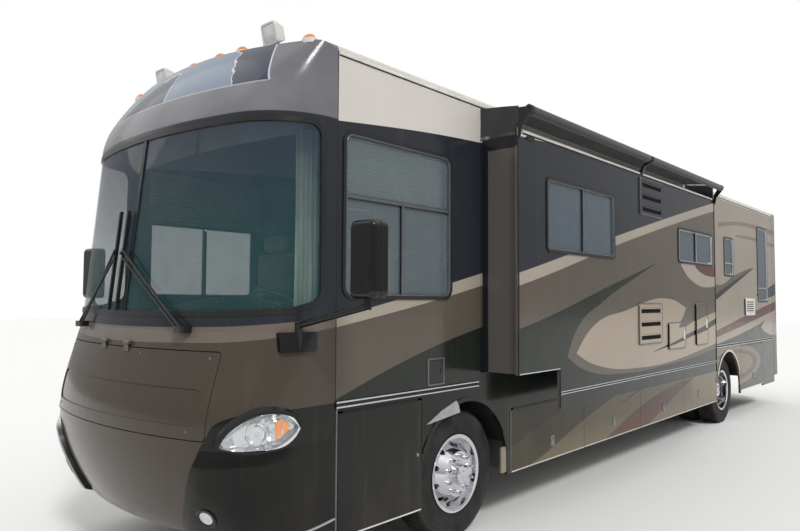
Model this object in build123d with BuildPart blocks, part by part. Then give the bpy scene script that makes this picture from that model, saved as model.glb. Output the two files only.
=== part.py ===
from build123d import *
import math
import os

os.makedirs("parts", exist_ok=True)

# Driving sizes of the coach, in millimetres.
# The front faces -Y, +X is the driver's side and Z = 0 is the ground.
front_overhang = 2340
wheelbase = 6890
rear_overhang = 3220
length = front_overhang + wheelbase + rear_overhang
body_half = 1280
wall = 45
skin = 40
skirt_wall = 25
gap = 0.5
seat_gap = 0.3

front_axle_y = -length / 2 + front_overhang
rear_axle = wheelbase
rear_end = wheelbase + rear_overhang

# Stations are measured back from the front axle
front_seam = -1417
rear_cap_depth = 390
rear_seam = rear_end - rear_cap_depth

# Heights above the ground
skirt_bottom = 400
belt_bottom = 1185
belt_top = 1230
floor_top = 1280
floor_thickness = 40
head_room = 2180
wall_top = floor_top + head_room
roof_thickness = 70
roof_edge = wall_top + 45
roof_rise = 95
roof_crown = roof_edge + roof_rise
roof_flat_half = 400
brow_height = 540
brow_bottom = roof_crown - brow_height
shoulder_radius = 45
shoulder_turn = 75

# Windshield opening in the front cap
screen_bottom = 1745
screen_top = brow_bottom - 40
screen_back = -1520
screen_sill_bend = -1760
screen_radius = 110
screen_rubber = 35

# Wheels
axle_height = 500
tyre_radius = 500
tyre_half = 140
wheel_mid = body_half - 230
twin_spacing = 340
kingpin_x = wheel_mid - 100

# Slide-out room
slide_out = 370
slide_travel = 335
slide_front = 200
slide_rear = 5038
slide_bottom = 1300
slide_header = 260
slide_top = wall_top - slide_header
slide_clearance = 10
fascia = 25
fascia_lap = 31
slide_inner_x = body_half - 110
slide_notch = 830
slide_skirt_bottom = 962
roller_out = 95
roller_z = wall_top - 85
roller_radius = 38
cloth_rail_z = wall_top + 10

# Openings and frames of the windows
frame_lap = 15
sleeve_wall = 15
flange_depth = 9
bar_half = 15
bar_depth = 28
pane_inset = 12
pane = 6
screen_bar_half = 22
cab_window_head = wall_top - 460
window_head = wall_top - 570
tall_window_head = wall_top - 252

# Nose hatch, with a shallow panel pressed into its lower half
hatch_half = body_half - 280
hatch_bottom = 1055
hatch_top = 1560
hatch_wall = 22
hatch_hinge_x = 160
hatch_hinge_y = -2246
hatch_hinge_z = 1575
recess_half = hatch_half - 50
recess_bottom = 1130
recess_top = 1345
recess_depth = 8

# Entry door and steps, on the passenger's side
entry_front = 780
entry_rear = 1520
entry_bottom = 480
entry_top = 2950
entry_hinge_y = 773
steps_depth = 790
step_bottom = 470
tread_run = 210
tread_rise = 260

# Cab
seat_top = 1760
dash_top = 1700
dash_back = -1480
steer_x = 620
steer_y = -1330
steer_z = 1830
steer_tilt = 30
steer_radius = 215
seat_places = (-620, 620)
seat_y = -620

# Rear
rear_corner = 180
cap_proud = 1
rear_bottom = 520
engine_door_half = 600
engine_door_bottom = 760
engine_door_hinge = 1760
louvre_count = 9
louvre_pitch = 70
louvre_half = 430
louvre_height = 26
tail_lamp_x = body_half - 200
tail_lamp_half = 60
tail_lamp_bottom = 1000
tail_lamp_top = 1400
hitch_half = 25.4
hitch_wall = 9.6
hitch_z = 595
hitch_rear = rear_end - 60
hitch_front = hitch_rear - 390
hitch_pin_station = hitch_rear - 65
hitch_pin_radius = 8.2
hanger_station = rear_seam + 30
hanger_wall = 10
engine_rear = rear_end - 560
engine_front = engine_rear - 1400

# Basement and floor bearers, as stations
bay_front = 655
bay_rear = wheelbase - 615
tray_bottom = 420
bulkhead_stations = (670, 2010, 3450, 4930, bay_rear - 13)
last_bearer = rear_seam - 320
bearer_stations = (-1000, 650, 2600, 4200, 5800, wheelbase + 1110, last_bearer)
outrigger_stations = (650, 2600, 4200, 5800, last_bearer)
cross_member_stations = (-1900, -900, 1000, 2600, 4200, 5800, wheelbase + 810, hanger_station)
runner_stations = (900, 2600, 4300)

# Mirrors
mirror_x = body_half + 480
mirror_y = -1620
mirror_half = 100
mirror_depth = 120
mirror_bottom = 1880
mirror_split = 2035
mirror_top = 2335
mirror_round = 45
mirror_pocket = 6
mirror_base = (body_half - 5, -1720, 1720)
mirror_pad_half = 125
mirror_pad_bottom = 1560
mirror_pad_top = 1680
mirror_pad_proud = 26

# Wipers and the lamps along the brow's top
wiper_pivot = 700
wiper_foot = 1690
blade_places = ((1, -60), (-1, -170))
blade_bottom = 1800
blade_top = 2490
blade_joint = 2190
blade_stand = 12
blade_depth = 22
clearance_lamps = ((-1070, -1470), (-400, -1535), (-20, -1550), (305, -1535), (1070, -1470))
docking_x = 725
docking_station = -1560
docking_z = roof_crown + 115
docking_half = 78
docking_tip = 12
fog_x = 941
fog_z = 593
fog_radius = 62

# Rails of the chassis
rail_mid = 430
rail_half = 40
rail_bottom = 860
rail_top = 1100

# Hubs and liners
kingpin_radius = 22
spindle_radius = 36
hub_inner = kingpin_x + 74
spindle_end = wheel_mid + 115
bead_radius = 289
bead_height = 18
rim_half = 112
hand_hole_count = 10
hand_hole_circle = 226
hand_hole_radius = 22
liner_inner = wheel_mid - 490
twin_liner_inner = wheel_mid - 530
arch_lip = 34
arch_lip_proud = 8
arch_lip_foot = 760
rail_proud = 10

# Hinged doors of the sides
door_gap = 6
barrel = 5
hinge_inset = 5
leaf_drop = 12


def aft(station):
    """Y of a station measured back from the front axle."""
    return front_axle_y + station


def side_outline(x, y0, y1, z0, z1, radius=0):
    """Rectangle seen from the side, on the plane X = x."""
    with BuildSketch(Plane.YZ.offset(x)) as outline:
        with Locations((aft((y0 + y1) / 2), (z0 + z1) / 2)):
            if radius:
                RectangleRounded(y1 - y0, z1 - z0, radius)
            else:
                Rectangle(y1 - y0, z1 - z0)
    return outline.sketch


def side_shape(x, points):
    """Polygon seen from the side: (station, height) corners on the plane X = x."""
    with BuildSketch(Plane.YZ.offset(x)) as outline:
        with BuildLine():
            Polyline([(aft(y), z) for y, z in points], close=True)
        make_face()
    return outline.sketch


def plan_outline(z, x0, x1, y0, y1, radius=0):
    """Rectangle seen from above, on the plane Z = z."""
    with BuildSketch(Plane.XY.offset(z)) as outline:
        with Locations(((x0 + x1) / 2, aft((y0 + y1) / 2))):
            if radius:
                RectangleRounded(x1 - x0, y1 - y0, radius)
            else:
                Rectangle(x1 - x0, y1 - y0)
    return outline.sketch


def slab(x0, x1, y0, y1, z0, z1, mode=Mode.ADD):
    """Straight-sided block between two X, two stations and two heights."""
    return extrude(plan_outline(z0, x0, x1, y0, y1), amount=z1 - z0, mode=mode)


def bar_along(axis, radius, start, span, mode=Mode.ADD):
    """Round bar of a radius from a start point (x, station, z), along X, Y or Z."""
    directions = {"x": (1, 0, 0), "y": (0, 1, 0), "z": (0, 0, 1)}
    plane = Plane(origin=(start[0], aft(start[1]), start[2]), z_dir=directions[axis])
    with BuildSketch(plane) as circle:
        Circle(radius)
    return extrude(circle.sketch, amount=span, mode=mode)


# The front cap's plan outline is a wide arc over the nose, a tighter arc at each corner
# and straight sides back to the seam. One row per height, from the bumper to the brow.
# Columns: height, nose station, how far the wide arc falls back by the corners, corner radius.
nose_levels = [
    (430, -2120, 118, 470),
    (640, -2240, 109, 490),
    (850, -2312, 103, 500),
    (1060, -2340, 103, 500),
    (1280, -2312, 103, 500),
    (1490, -2258, 107, 500),
    (1680, -2205, 111, 500),
]
screen_levels = [
    (1680, -2205, 111, 500),
    (brow_bottom, -2055, 94, 500),
]
brow_levels = [
    (brow_bottom, -2055, 94, 500),
    (roof_crown - 330, -1985, 127, 400),
    (roof_crown - 150, -1875, 179, 250),
    (roof_crown + 20, -1725, 224, 60),
]


def cap_section(level, inset, back):
    """Plan outline of the front cap at one level, moved inward by inset."""
    height, nose, fall, corner_radius = level
    side = body_half - inset
    corner = corner_radius - inset
    centre_x = body_half - corner_radius
    depth = fall + corner_radius
    front = (depth**2 - corner_radius**2 + centre_x**2) / (2 * fall) - inset
    nose_y = aft(nose + inset)
    front_centre_y = nose_y + front
    corner_y = front_centre_y - math.sqrt((front - corner) ** 2 - centre_x**2)
    lean = math.asin(centre_x / (front - corner))
    touch = (front * math.sin(lean), front_centre_y - front * math.cos(lean))
    half_turn = (lean + math.pi / 2) / 2
    middle = (
        centre_x + corner * math.sin(half_turn),
        corner_y - corner * math.cos(half_turn),
    )
    back_y = aft(back)
    with BuildSketch(Plane.XY.offset(height)) as section:
        with BuildLine():
            ThreePointArc((-touch[0], touch[1]), (0, nose_y), touch)
            ThreePointArc(touch, middle, (side, corner_y))
            Polyline((side, corner_y), (side, back_y), (-side, back_y), (-side, corner_y))
            ThreePointArc(
                (-side, corner_y), (-middle[0], middle[1]), (-touch[0], touch[1])
            )
        make_face()
    return section.sketch


def cap_loft(levels, inset, back, ruled=False, mode=Mode.ADD):
    """Solid through the cap's outlines at the given levels."""
    sections = [cap_section(level, inset, back) for level in levels]
    return loft(sections, ruled=ruled or len(levels) == 2, mode=mode)


def roof_outline(station, inset, drop, floor_z):
    """Front view of the coach's top edge, narrowed by inset and lowered by drop."""
    half = body_half - inset
    turn = math.radians(shoulder_turn)
    edge = roof_edge - drop
    rim_x = half - shoulder_radius * (1 - math.cos(turn))
    rim_z = edge + shoulder_radius * math.sin(turn)
    crown = roof_crown - drop
    with BuildSketch(Plane.XZ.offset(-aft(station))) as outline:
        with BuildLine():
            Polyline((-half, edge), (-half, floor_z), (half, floor_z), (half, edge))
            JernArc((half, edge), (0, 1), shoulder_radius, shoulder_turn)
            Polyline(
                (rim_x, rim_z), (roof_flat_half, crown), (-roof_flat_half, crown), (-rim_x, rim_z)
            )
            JernArc((-half, edge), (0, 1), shoulder_radius, -shoulder_turn)
        make_face()
    return outline.sketch


def cap_solid(inset, drop, back, deeper):
    """The front cap's whole form, inset all round, with its top lowered by drop."""
    height, nose, fall, corner_radius = nose_levels[0]
    lowest = (height - deeper, nose, fall, corner_radius)
    with BuildPart() as form:
        cap_loft([lowest] + nose_levels[1:], inset, back)
        cap_loft(screen_levels, inset, back)
        cap_loft(brow_levels, inset, back)
        extrude(roof_outline(-front_overhang - 100, inset, drop, 0), amount=-1500, mode=Mode.INTERSECT)
    return form.part


def screen_shell(outer, inner):
    """Layer of the windshield's curved band between two insets."""
    with BuildPart() as layer:
        cap_loft(screen_levels, outer, front_seam - gap)
        cap_loft(screen_levels, inner, front_seam + 50, mode=Mode.SUBTRACT)
    return layer.part


def nose_shell(outer, inner):
    """Layer of the nose's curved skin between two insets."""
    with BuildPart() as layer:
        cap_loft(nose_levels, outer, front_seam - gap)
        cap_loft(nose_levels, inner, front_seam + 50, mode=Mode.SUBTRACT)
    return layer.part


def screen_outline(x, shrink):
    """Side view of the windshield's opening: it wraps round both corners of the cap."""
    with BuildSketch(Plane.YZ.offset(x)) as outline:
        with BuildLine():
            Polyline(
                (aft(-front_overhang - 200), screen_bottom),
                (aft(screen_sill_bend), screen_bottom + 45),
                (aft(screen_back), screen_bottom + 110),
                (aft(screen_back), screen_top),
                (aft(-front_overhang - 200), screen_top),
                close=True,
            )
        make_face()
        fillet(outline.vertices().sort_by(Axis.X)[-2:], screen_radius)
        if shrink:
            offset(amount=-shrink)
    return outline.sketch


# Front cap: a hollow moulding, open below and behind
cap_outer = cap_solid(0, 0, front_seam - gap, 0)
cap_inner = cap_solid(skin, roof_thickness, front_seam + 200, 10)

# Side view of the headlamp's almond: (station, height) of its tip, crown, back and keel
lamp_tip = (-2140, 1020)
lamp_crown = (-1960, 1200)
lamp_back = (-1715, 1110)
lamp_keel = (-1930, 1000)
lamp_outside = body_half + 20
lamp_reach = 400


def lamp_outline(x, grow):
    """Side view of a headlamp, on the plane X = x."""
    with BuildSketch(Plane.YZ.offset(x)) as outline:
        with BuildLine():
            tip = (aft(lamp_tip[0]), lamp_tip[1])
            back = (aft(lamp_back[0]), lamp_back[1])
            ThreePointArc(tip, (aft(lamp_crown[0]), lamp_crown[1]), back)
            ThreePointArc(back, (aft(lamp_keel[0]), lamp_keel[1]), tip)
        make_face()
        if grow:
            offset(amount=grow)
    return outline.sketch


with BuildPart() as front_cap:
    add(cap_outer)
    add(cap_inner, mode=Mode.SUBTRACT)
    extrude(screen_outline(-body_half - 120, 0), amount=2 * body_half + 240, mode=Mode.SUBTRACT)
    with BuildSketch(Plane.XZ.offset(-aft(-front_overhang - 100))) as hatch_hole:
        with Locations((0, (hatch_bottom + hatch_top) / 2)):
            RectangleRounded(
                2 * (hatch_half + door_gap), hatch_top - hatch_bottom + 2 * door_gap, 30
            )
    extrude(hatch_hole.sketch, amount=-500, mode=Mode.SUBTRACT)
    for x in (-lamp_outside, lamp_outside - lamp_reach):
        extrude(lamp_outline(x, gap), amount=lamp_reach, mode=Mode.SUBTRACT)
    for side in (-1, 1):
        bar_along("y", fog_radius + gap, (side * fog_x, -front_overhang - 100, fog_z), 400,
                  mode=Mode.SUBTRACT)
    for side in (-1, 1):
        mid = side * hatch_hinge_x
        slab(mid - 40, mid + 40, hatch_hinge_y - 6, hatch_hinge_y + 40,
             hatch_hinge_z + barrel + seat_gap, hatch_hinge_z + 30)

front_cap.part.label = "front_cap"
export_step(front_cap.part, "parts/front_cap.step")

# Nose hatch: the cap's skin between the headlamps, hung from two hinges on its top edge
with BuildPart() as hatch_recess:
    add(nose_shell(-5, recess_depth))
    with BuildSketch(Plane.XZ.offset(-aft(-front_overhang - 100))) as recess_face:
        with Locations((0, (recess_bottom + recess_top) / 2)):
            RectangleRounded(2 * recess_half, recess_top - recess_bottom, 60)
    extrude(recess_face.sketch, amount=-500, mode=Mode.INTERSECT)

with BuildPart() as nose_hatch:
    add(nose_shell(0, hatch_wall))
    with BuildSketch(Plane.XZ.offset(-aft(-front_overhang - 100))) as hatch_face:
        with Locations((0, (hatch_bottom + hatch_top) / 2)):
            RectangleRounded(2 * hatch_half, hatch_top - hatch_bottom, 25)
    extrude(hatch_face.sketch, amount=-500, mode=Mode.INTERSECT)
    add(hatch_recess.part, mode=Mode.SUBTRACT)
    for side in (-1, 1):
        mid = side * hatch_hinge_x
        bar_along("x", barrel, (mid - 30, hatch_hinge_y, hatch_hinge_z), 60)
        slab(mid - 30, mid + 30, hatch_hinge_y - 3, hatch_hinge_y + 25,
             hatch_hinge_z - 40, hatch_top)
        slab(mid - 30, mid + 30, hatch_hinge_y - 3, hatch_hinge_y + 3,
             hatch_top, hatch_hinge_z)

nose_hatch.part.label = "nose_hatch"
export_step(nose_hatch.part, "parts/nose_hatch.step")

# Headlamps and fog lamps: one solid of each at each corner, flush with the cap
with BuildPart() as head_lamps:
    add(nose_shell(3, skin - 2))
    with BuildSketch(Plane.XY.offset(900)) as corners:
        lamp_mid = lamp_outside - lamp_reach / 2
        with Locations((-lamp_mid, aft(-1900)), (lamp_mid, aft(-1900))):
            Rectangle(lamp_reach, 600)
    extrude(corners.sketch, amount=400, mode=Mode.INTERSECT)
    extrude(lamp_outline(-lamp_outside, 0), amount=2 * lamp_outside, mode=Mode.INTERSECT)
    for side in (-1, 1):
        with BuildPart(mode=Mode.PRIVATE) as fog_lamp:
            add(nose_shell(3, skin - 2))
            bar_along("y", fog_radius, (side * fog_x, -front_overhang - 100, fog_z), 400,
                      mode=Mode.INTERSECT)
        add(fog_lamp.part)

head_lamps.part.label = "head_lamps"
export_step(head_lamps.part, "parts/head_lamps.step")

# Window frames of the coach: the windshield's rubber with its centre bar, then the side frames.
# Columns: side, front and rear stations, bottom, top, corner radius,
# heights of level bars, stations of upright bars, top of the upright bars.
cab_bar = cab_window_head - 440
axle_window = wheelbase - 137
coach_windows = [
    (1, -1370, -200, 1880, cab_window_head, 90, [cab_bar], [-780], cab_bar),
    (1, axle_window, axle_window + 480, 2273, window_head, 60, [2480], [], 0),
    (1, rear_seam - 1044, rear_seam - 379, 1870, tall_window_head, 60, [2120], [], 0),
    (-1, -1370, -200, 1880, cab_window_head, 90, [cab_bar], [-780], cab_bar),
    (-1, 2500, 3700, 2250, window_head, 60, [], [3100], window_head),
    (-1, 4300, 5000, 2250, window_head, 60, [2450], [], 0),
    (-1, axle_window, axle_window + 1200, 2250, window_head, 60, [], [axle_window + 600],
     window_head),
]
slide_windows = [
    (1, 612, 1951, 2283, slide_top - 278, 60, [], [1282], slide_top - 278),
    (1, 3690, 4950, 2330, slide_top - 445, 60, [], [4320], slide_top - 445),
]


def window_holes(windows, side, outer_x, depth):
    """Cuts every window of one side through a wall whose outer face is at outer_x."""
    for row in windows:
        if row[0] != side:
            continue
        _, y0, y1, z0, z1, radius = row[:6]
        hole = side_outline(
            side * (outer_x + 5), y0 + frame_lap, y1 - frame_lap,
            z0 + frame_lap, z1 - frame_lap, radius - frame_lap,
        )
        extrude(hole, amount=-side * (depth + 10), mode=Mode.SUBTRACT)


def frame_solid(row, outer_x, depth):
    """One window frame: a flange on the wall's face, a sleeve in its hole and the bars."""
    side, y0, y1, z0, z1, radius, levels, uprights, upright_top = row
    sleeve = frame_lap + gap
    inside = frame_lap + sleeve_wall
    with BuildPart() as frame:
        face_x = side * (outer_x + seat_gap)
        extrude(side_outline(face_x, y0, y1, z0, z1, radius), amount=side * flange_depth)
        sleeve_outline = side_outline(
            side * (outer_x + flange_depth), y0 + sleeve, y1 - sleeve,
            z0 + sleeve, z1 - sleeve, radius - sleeve,
        )
        extrude(sleeve_outline, amount=-side * (depth + flange_depth))
        daylight = side_outline(
            side * (outer_x + 50), y0 + inside, y1 - inside,
            z0 + inside, z1 - inside, radius - inside,
        )
        extrude(daylight, amount=-side * 200, mode=Mode.SUBTRACT)
        near, far = sorted((side * (outer_x + 2), side * (outer_x - bar_depth)))
        for z in levels:
            slab(near, far, y0 + inside - 2, y1 - inside + 2, z - bar_half, z + bar_half)
        for y in uprights:
            slab(near, far, y - bar_half, y + bar_half, z0 + inside - 2, upright_top - inside + 2)
    return frame.part


def pane_solids(row, outer_x):
    """The glass of one window: a thin sheet inside the sleeve, parted by the bars."""
    side, y0, y1, z0, z1, radius, levels, uprights, upright_top = row
    edge = frame_lap + sleeve_wall + seat_gap
    with BuildPart() as panes:
        sheet = side_outline(
            side * (outer_x - pane_inset), y0 + edge, y1 - edge,
            z0 + edge, z1 - edge, radius - edge,
        )
        extrude(sheet, amount=-side * pane)
        near, far = sorted((side * (outer_x + 20), side * (outer_x - 60)))
        half = bar_half + seat_gap
        for z in levels:
            slab(near, far, y0, y1, z - half, z + half, mode=Mode.SUBTRACT)
        for y in uprights:
            slab(near, far, y - half, y + half, z0, upright_top, mode=Mode.SUBTRACT)
    return panes.part


with BuildPart() as screen_rubber_ring:
    add(screen_shell(-5, 20))
    extrude(screen_outline(-body_half - 120, gap), amount=2 * body_half + 240, mode=Mode.INTERSECT)
    extrude(screen_outline(-body_half - 120, screen_rubber), amount=2 * body_half + 240, mode=Mode.SUBTRACT)

with BuildPart() as screen_bar:
    add(screen_shell(-2, 20))
    slab(-screen_bar_half, screen_bar_half, -front_overhang, -1700,
         screen_bottom + screen_rubber - 3, screen_top - screen_rubber + 3, mode=Mode.INTERSECT)

with BuildPart() as window_frames:
    add(screen_rubber_ring.part)
    add(screen_bar.part)
    for row in coach_windows:
        add(frame_solid(row, body_half, wall))

window_frames.part.label = "window_frames"
export_step(window_frames.part, "parts/window_frames.step")

with BuildPart() as coach_glass:
    add(screen_shell(6, 6 + pane))
    extrude(screen_outline(-body_half - 120, screen_rubber + seat_gap), amount=2 * body_half + 240, mode=Mode.INTERSECT)
    slab(-screen_bar_half - seat_gap, screen_bar_half + seat_gap, -front_overhang, -1700,
         1600, 3100, mode=Mode.SUBTRACT)
    for row in coach_windows:
        add(pane_solids(row, body_half))

coach_glass.part.label = "coach_glass"
export_step(coach_glass.part, "parts/coach_glass.step")

# Side walls, with the belt rail along their lower edge
with BuildPart() as left_wall:
    slab(body_half - wall, body_half, front_seam, rear_seam - gap, belt_bottom, wall_top - gap)
    slab(body_half, body_half + rail_proud, front_seam, slide_front - 50, belt_bottom, belt_top)
    slab(body_half, body_half + rail_proud, slide_rear + 50, rear_seam - gap, belt_bottom, belt_top)
    slab(body_half - 100, body_half + 100, slide_front - slide_clearance,
         slide_rear + slide_clearance, slide_bottom - slide_clearance,
         slide_top + slide_clearance, mode=Mode.SUBTRACT)
    window_holes(coach_windows, 1, body_half, wall)

left_wall.part.label = "left_wall"
export_step(left_wall.part, "parts/left_wall.step")

with BuildPart() as right_wall:
    slab(-body_half, -body_half + wall, front_seam, rear_seam - gap, belt_bottom, wall_top - gap)
    slab(-body_half - rail_proud, -body_half, front_seam, entry_front - 20, belt_bottom, belt_top)
    slab(-body_half - rail_proud, -body_half, entry_rear + 20, rear_seam - gap,
         belt_bottom, belt_top)
    slab(-body_half - 100, -body_half + 100, entry_front - door_gap, entry_rear + door_gap,
         0, entry_top + door_gap, mode=Mode.SUBTRACT)
    window_holes(coach_windows, -1, body_half, wall)

right_wall.part.label = "right_wall"
export_step(right_wall.part, "parts/right_wall.step")

# Entry door: one leaf from the step to above the window, hinged at its front edge
entry_hinge_x = -body_half - barrel - seat_gap
entry_window = (-1, entry_front + 120, entry_rear - 120, 1700, 2700, 70, [], [], 0)
with BuildPart() as entry_door:
    slab(-body_half, -body_half + wall, entry_front, entry_rear, entry_bottom, entry_top)
    for z in (entry_bottom + 250, (entry_bottom + entry_top) / 2, entry_top - 250):
        bar_along("z", barrel, (entry_hinge_x, entry_hinge_y, z - 60), 120)
        slab(entry_hinge_x - 3, -body_half, entry_hinge_y, entry_front + 30, z - 60, z + 60)
    window_holes([entry_window], -1, body_half, wall)

entry_door.part.label = "entry_door"
export_step(entry_door.part, "parts/entry_door.step")

with BuildPart() as entry_door_glass:
    add(frame_solid(entry_window, body_half, wall))
    add(pane_solids(entry_window, body_half))

entry_door_glass.part.label = "entry_door_glass"
export_step(entry_door_glass.part, "parts/entry_door_glass.step")

# Lower sides: fixed skins with the wheel arches, and the openings that the doors close.
# Columns: door name, side, front and rear stations, bottom, height of the hinge line.
side_doors = [
    ("left_front_door", 1, -1390, -560, 360, 1160),
    ("left_bay_door_1", 1, 650, 2007, 402, 946),
    ("left_bay_door_2", 1, 2013, 3447, 402, 946),
    ("left_bay_door_3", 1, 3453, 4927, 402, 946),
    ("left_bay_door_4", 1, 4933, bay_rear + 5, 402, 946),
    ("left_rear_door", 1, wheelbase + 670, rear_seam - 820, 440, 1160),
    ("right_front_door", -1, -1390, -560, 360, 1160),
    ("right_bay_door_1", -1, 1640, 3137, 402, 946),
    ("right_bay_door_2", -1, 3143, 4697, 402, 946),
    ("right_bay_door_3", -1, 4703, bay_rear + 5, 402, 946),
    ("right_rear_door", -1, wheelbase + 670, rear_seam - 820, 440, 1160),
]
# Columns: station of the arch's centre, radius, how far its lip reaches forward and back
arches = [(0, 580, 545, 630), (rear_axle, 600, 595, 650)]

arch_lips = []
for station, radius, ahead, behind in arches:
    with BuildPart() as arch_lip_half:
        bar_along("x", radius + arch_lip, (body_half - skirt_wall, station, axle_height),
                  skirt_wall + arch_lip_proud)
        slab(body_half - 100, body_half + 100, station - ahead, station + behind,
             arch_lip_foot, belt_bottom - gap, mode=Mode.INTERSECT)
    arch_lips.append(arch_lip_half)

hinge_x = body_half - hinge_inset
with BuildPart() as lower_skirts:
    for side in (-1, 1):
        near, far = sorted((side * (body_half - skirt_wall), side * body_half))
        slab(near, far, front_seam, rear_seam - gap, skirt_bottom, belt_bottom - gap)
        for lip in arch_lips:
            add(lip.part if side > 0 else mirror(lip.part, about=Plane.YZ, mode=Mode.PRIVATE))
        for station, radius, ahead, behind in arches:
            bar_along("x", radius, (near - 10, station, axle_height), skirt_wall + 20,
                      mode=Mode.SUBTRACT)
            slab(near - 10, far + 10, station - radius, station + radius, 0, axle_height,
                 mode=Mode.SUBTRACT)
    for name, side, y0, y1, z0, hinge_z in side_doors:
        near, far = sorted((side * (body_half - skirt_wall - 10), side * (body_half + 10)))
        slab(near, far, y0 - door_gap, y1 + door_gap, 0, hinge_z + barrel + seat_gap,
             mode=Mode.SUBTRACT)
    slab(-body_half - 20, -body_half + skirt_wall + 20, entry_front - door_gap,
         entry_rear + door_gap, 0, belt_bottom, mode=Mode.SUBTRACT)

lower_skirts.part.label = "lower_skirts"
export_step(lower_skirts.part, "parts/lower_skirts.step")

for name, side, y0, y1, z0, hinge_z in side_doors:
    with BuildPart() as side_door:
        near, far = sorted((side * (body_half - skirt_wall), side * body_half))
        slab(near, far, y0, y1, z0, hinge_z - leaf_drop)
        near, far = sorted((side * (hinge_x - barrel), side * hinge_x))
        slab(near, far, y0 + 40, y1 - 40, hinge_z - leaf_drop, hinge_z)
        bar_along("y", barrel, (side * hinge_x, y0 + 40, hinge_z), y1 - y0 - 80)
    side_door.part.label = name
    export_step(side_door.part, f"parts/{name}.step")

# Roof, with the shoulder rounding of the caps
with BuildPart() as roof_panel:
    extrude(roof_outline(front_seam, 0, 0, wall_top), amount=-(rear_seam - gap - front_seam))

roof_panel.part.label = "roof_panel"
export_step(roof_panel.part, "parts/roof_panel.step")

# Rear cap: rounded corners, hollow, with the opening of the engine door
with BuildPart() as rear_form:
    extrude(plan_outline(rear_bottom, -body_half, body_half, rear_seam - 600, rear_end,
                         rear_corner), amount=roof_crown + 100 - rear_bottom)
    slab(-body_half - 120, body_half + 120, rear_seam - 700, rear_seam, 0, roof_crown + 400,
         mode=Mode.SUBTRACT)
    extrude(roof_outline(rear_seam - 50, -cap_proud, 0, 0), amount=-800, mode=Mode.INTERSECT)

with BuildPart() as rear_hollow:
    extrude(plan_outline(rear_bottom - 10, -body_half + skin, body_half - skin,
                         rear_seam - 600, rear_end - skin, rear_corner - skin),
            amount=wall_top + 10 - rear_bottom)

with BuildPart() as rear_cap:
    add(rear_form.part)
    add(rear_hollow.part, mode=Mode.SUBTRACT)
    slab(-engine_door_half - door_gap, engine_door_half + door_gap, rear_end - 100,
         rear_end + 20, engine_door_bottom - door_gap, engine_door_hinge + barrel + seat_gap,
         mode=Mode.SUBTRACT)
    for side in (-1, 1):
        mid = side * tail_lamp_x
        slab(mid - tail_lamp_half, mid + tail_lamp_half, rear_end - 12, rear_end + 20,
             tail_lamp_bottom, tail_lamp_top, mode=Mode.SUBTRACT)

rear_cap.part.label = "rear_cap"
export_step(rear_cap.part, "parts/rear_cap.step")

with BuildPart() as engine_door:
    slab(-engine_door_half, engine_door_half, rear_end - skirt_wall, rear_end,
         engine_door_bottom, engine_door_hinge - leaf_drop)
    slab(-engine_door_half + 40, engine_door_half - 40, rear_end - hinge_inset - barrel,
         rear_end - hinge_inset, engine_door_hinge - leaf_drop, engine_door_hinge)
    bar_along("x", barrel, (-engine_door_half + 40, rear_end - hinge_inset, engine_door_hinge),
              2 * engine_door_half - 80)
    louvre_mid = (engine_door_bottom + engine_door_hinge) / 2
    with BuildSketch(Plane.XZ.offset(-aft(rear_end + 10))) as louvres:
        with Locations((0, louvre_mid)):
            with GridLocations(0, louvre_pitch, 1, louvre_count):
                SlotOverall(2 * louvre_half, louvre_height)
    extrude(louvres.sketch, amount=skirt_wall + 20, mode=Mode.SUBTRACT)

engine_door.part.label = "engine_door"
export_step(engine_door.part, "parts/engine_door.step")

with BuildPart() as tail_lamps:
    for side in (-1, 1):
        mid = side * tail_lamp_x
        slab(mid - tail_lamp_half + gap, mid + tail_lamp_half - gap, rear_end - 12 + seat_gap,
             rear_end - 1, tail_lamp_bottom + gap, tail_lamp_top - gap)

tail_lamps.part.label = "tail_lamps"
export_step(tail_lamps.part, "parts/tail_lamps.step")

# Cabin floor: it follows the cap inside the nose and leaves the entry steps free
with BuildPart() as floor_panel:
    floor_level = (floor_top - floor_thickness, -2290, 107, 500)
    extrude(cap_section(floor_level, skin + 10, front_seam), amount=floor_thickness)
    slab(-body_half + wall + seat_gap, body_half - wall - seat_gap, front_seam, rear_seam - gap,
         floor_top - floor_thickness, floor_top)
    slab(-body_half, -body_half + steps_depth, entry_front - 20, entry_rear + 20, 0, 2000,
         mode=Mode.SUBTRACT)
    for y in runner_stations:
        slab(slide_inner_x - slide_travel, body_half - wall - 5, y - 50, y + 50,
             floor_top, slide_bottom - seat_gap)

floor_panel.part.label = "floor_panel"
export_step(floor_panel.part, "parts/floor_panel.step")

# Entry steps: an open well with two treads
with BuildPart() as entry_steps:
    well_x = -body_half + wall + 10
    slab(well_x, -body_half + steps_depth - seat_gap, entry_front - 19, entry_rear + 19,
         step_bottom, floor_top)
    for tread in range(3):
        slab(well_x - 10, -body_half + steps_depth - 20 - tread * tread_run,
             entry_front - 4, entry_rear + 4,
             step_bottom + 20 + (2 - tread) * tread_rise, floor_top + 10, mode=Mode.SUBTRACT)

entry_steps.part.label = "entry_steps"
export_step(entry_steps.part, "parts/entry_steps.step")

# Partition between the cab's living room and the bedroom, with its doorway
partition_station = slide_rear + 312
with BuildPart() as cabin_partition:
    slab(-body_half + wall + gap, body_half - wall - gap, partition_station,
         partition_station + 35, floor_top + seat_gap, wall_top - seat_gap)
    slab(-900, -250, partition_station - 50, partition_station + 50, 0, slide_top,
         mode=Mode.SUBTRACT)

cabin_partition.part.label = "cabin_partition"
export_step(cabin_partition.part, "parts/cabin_partition.step")

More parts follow.
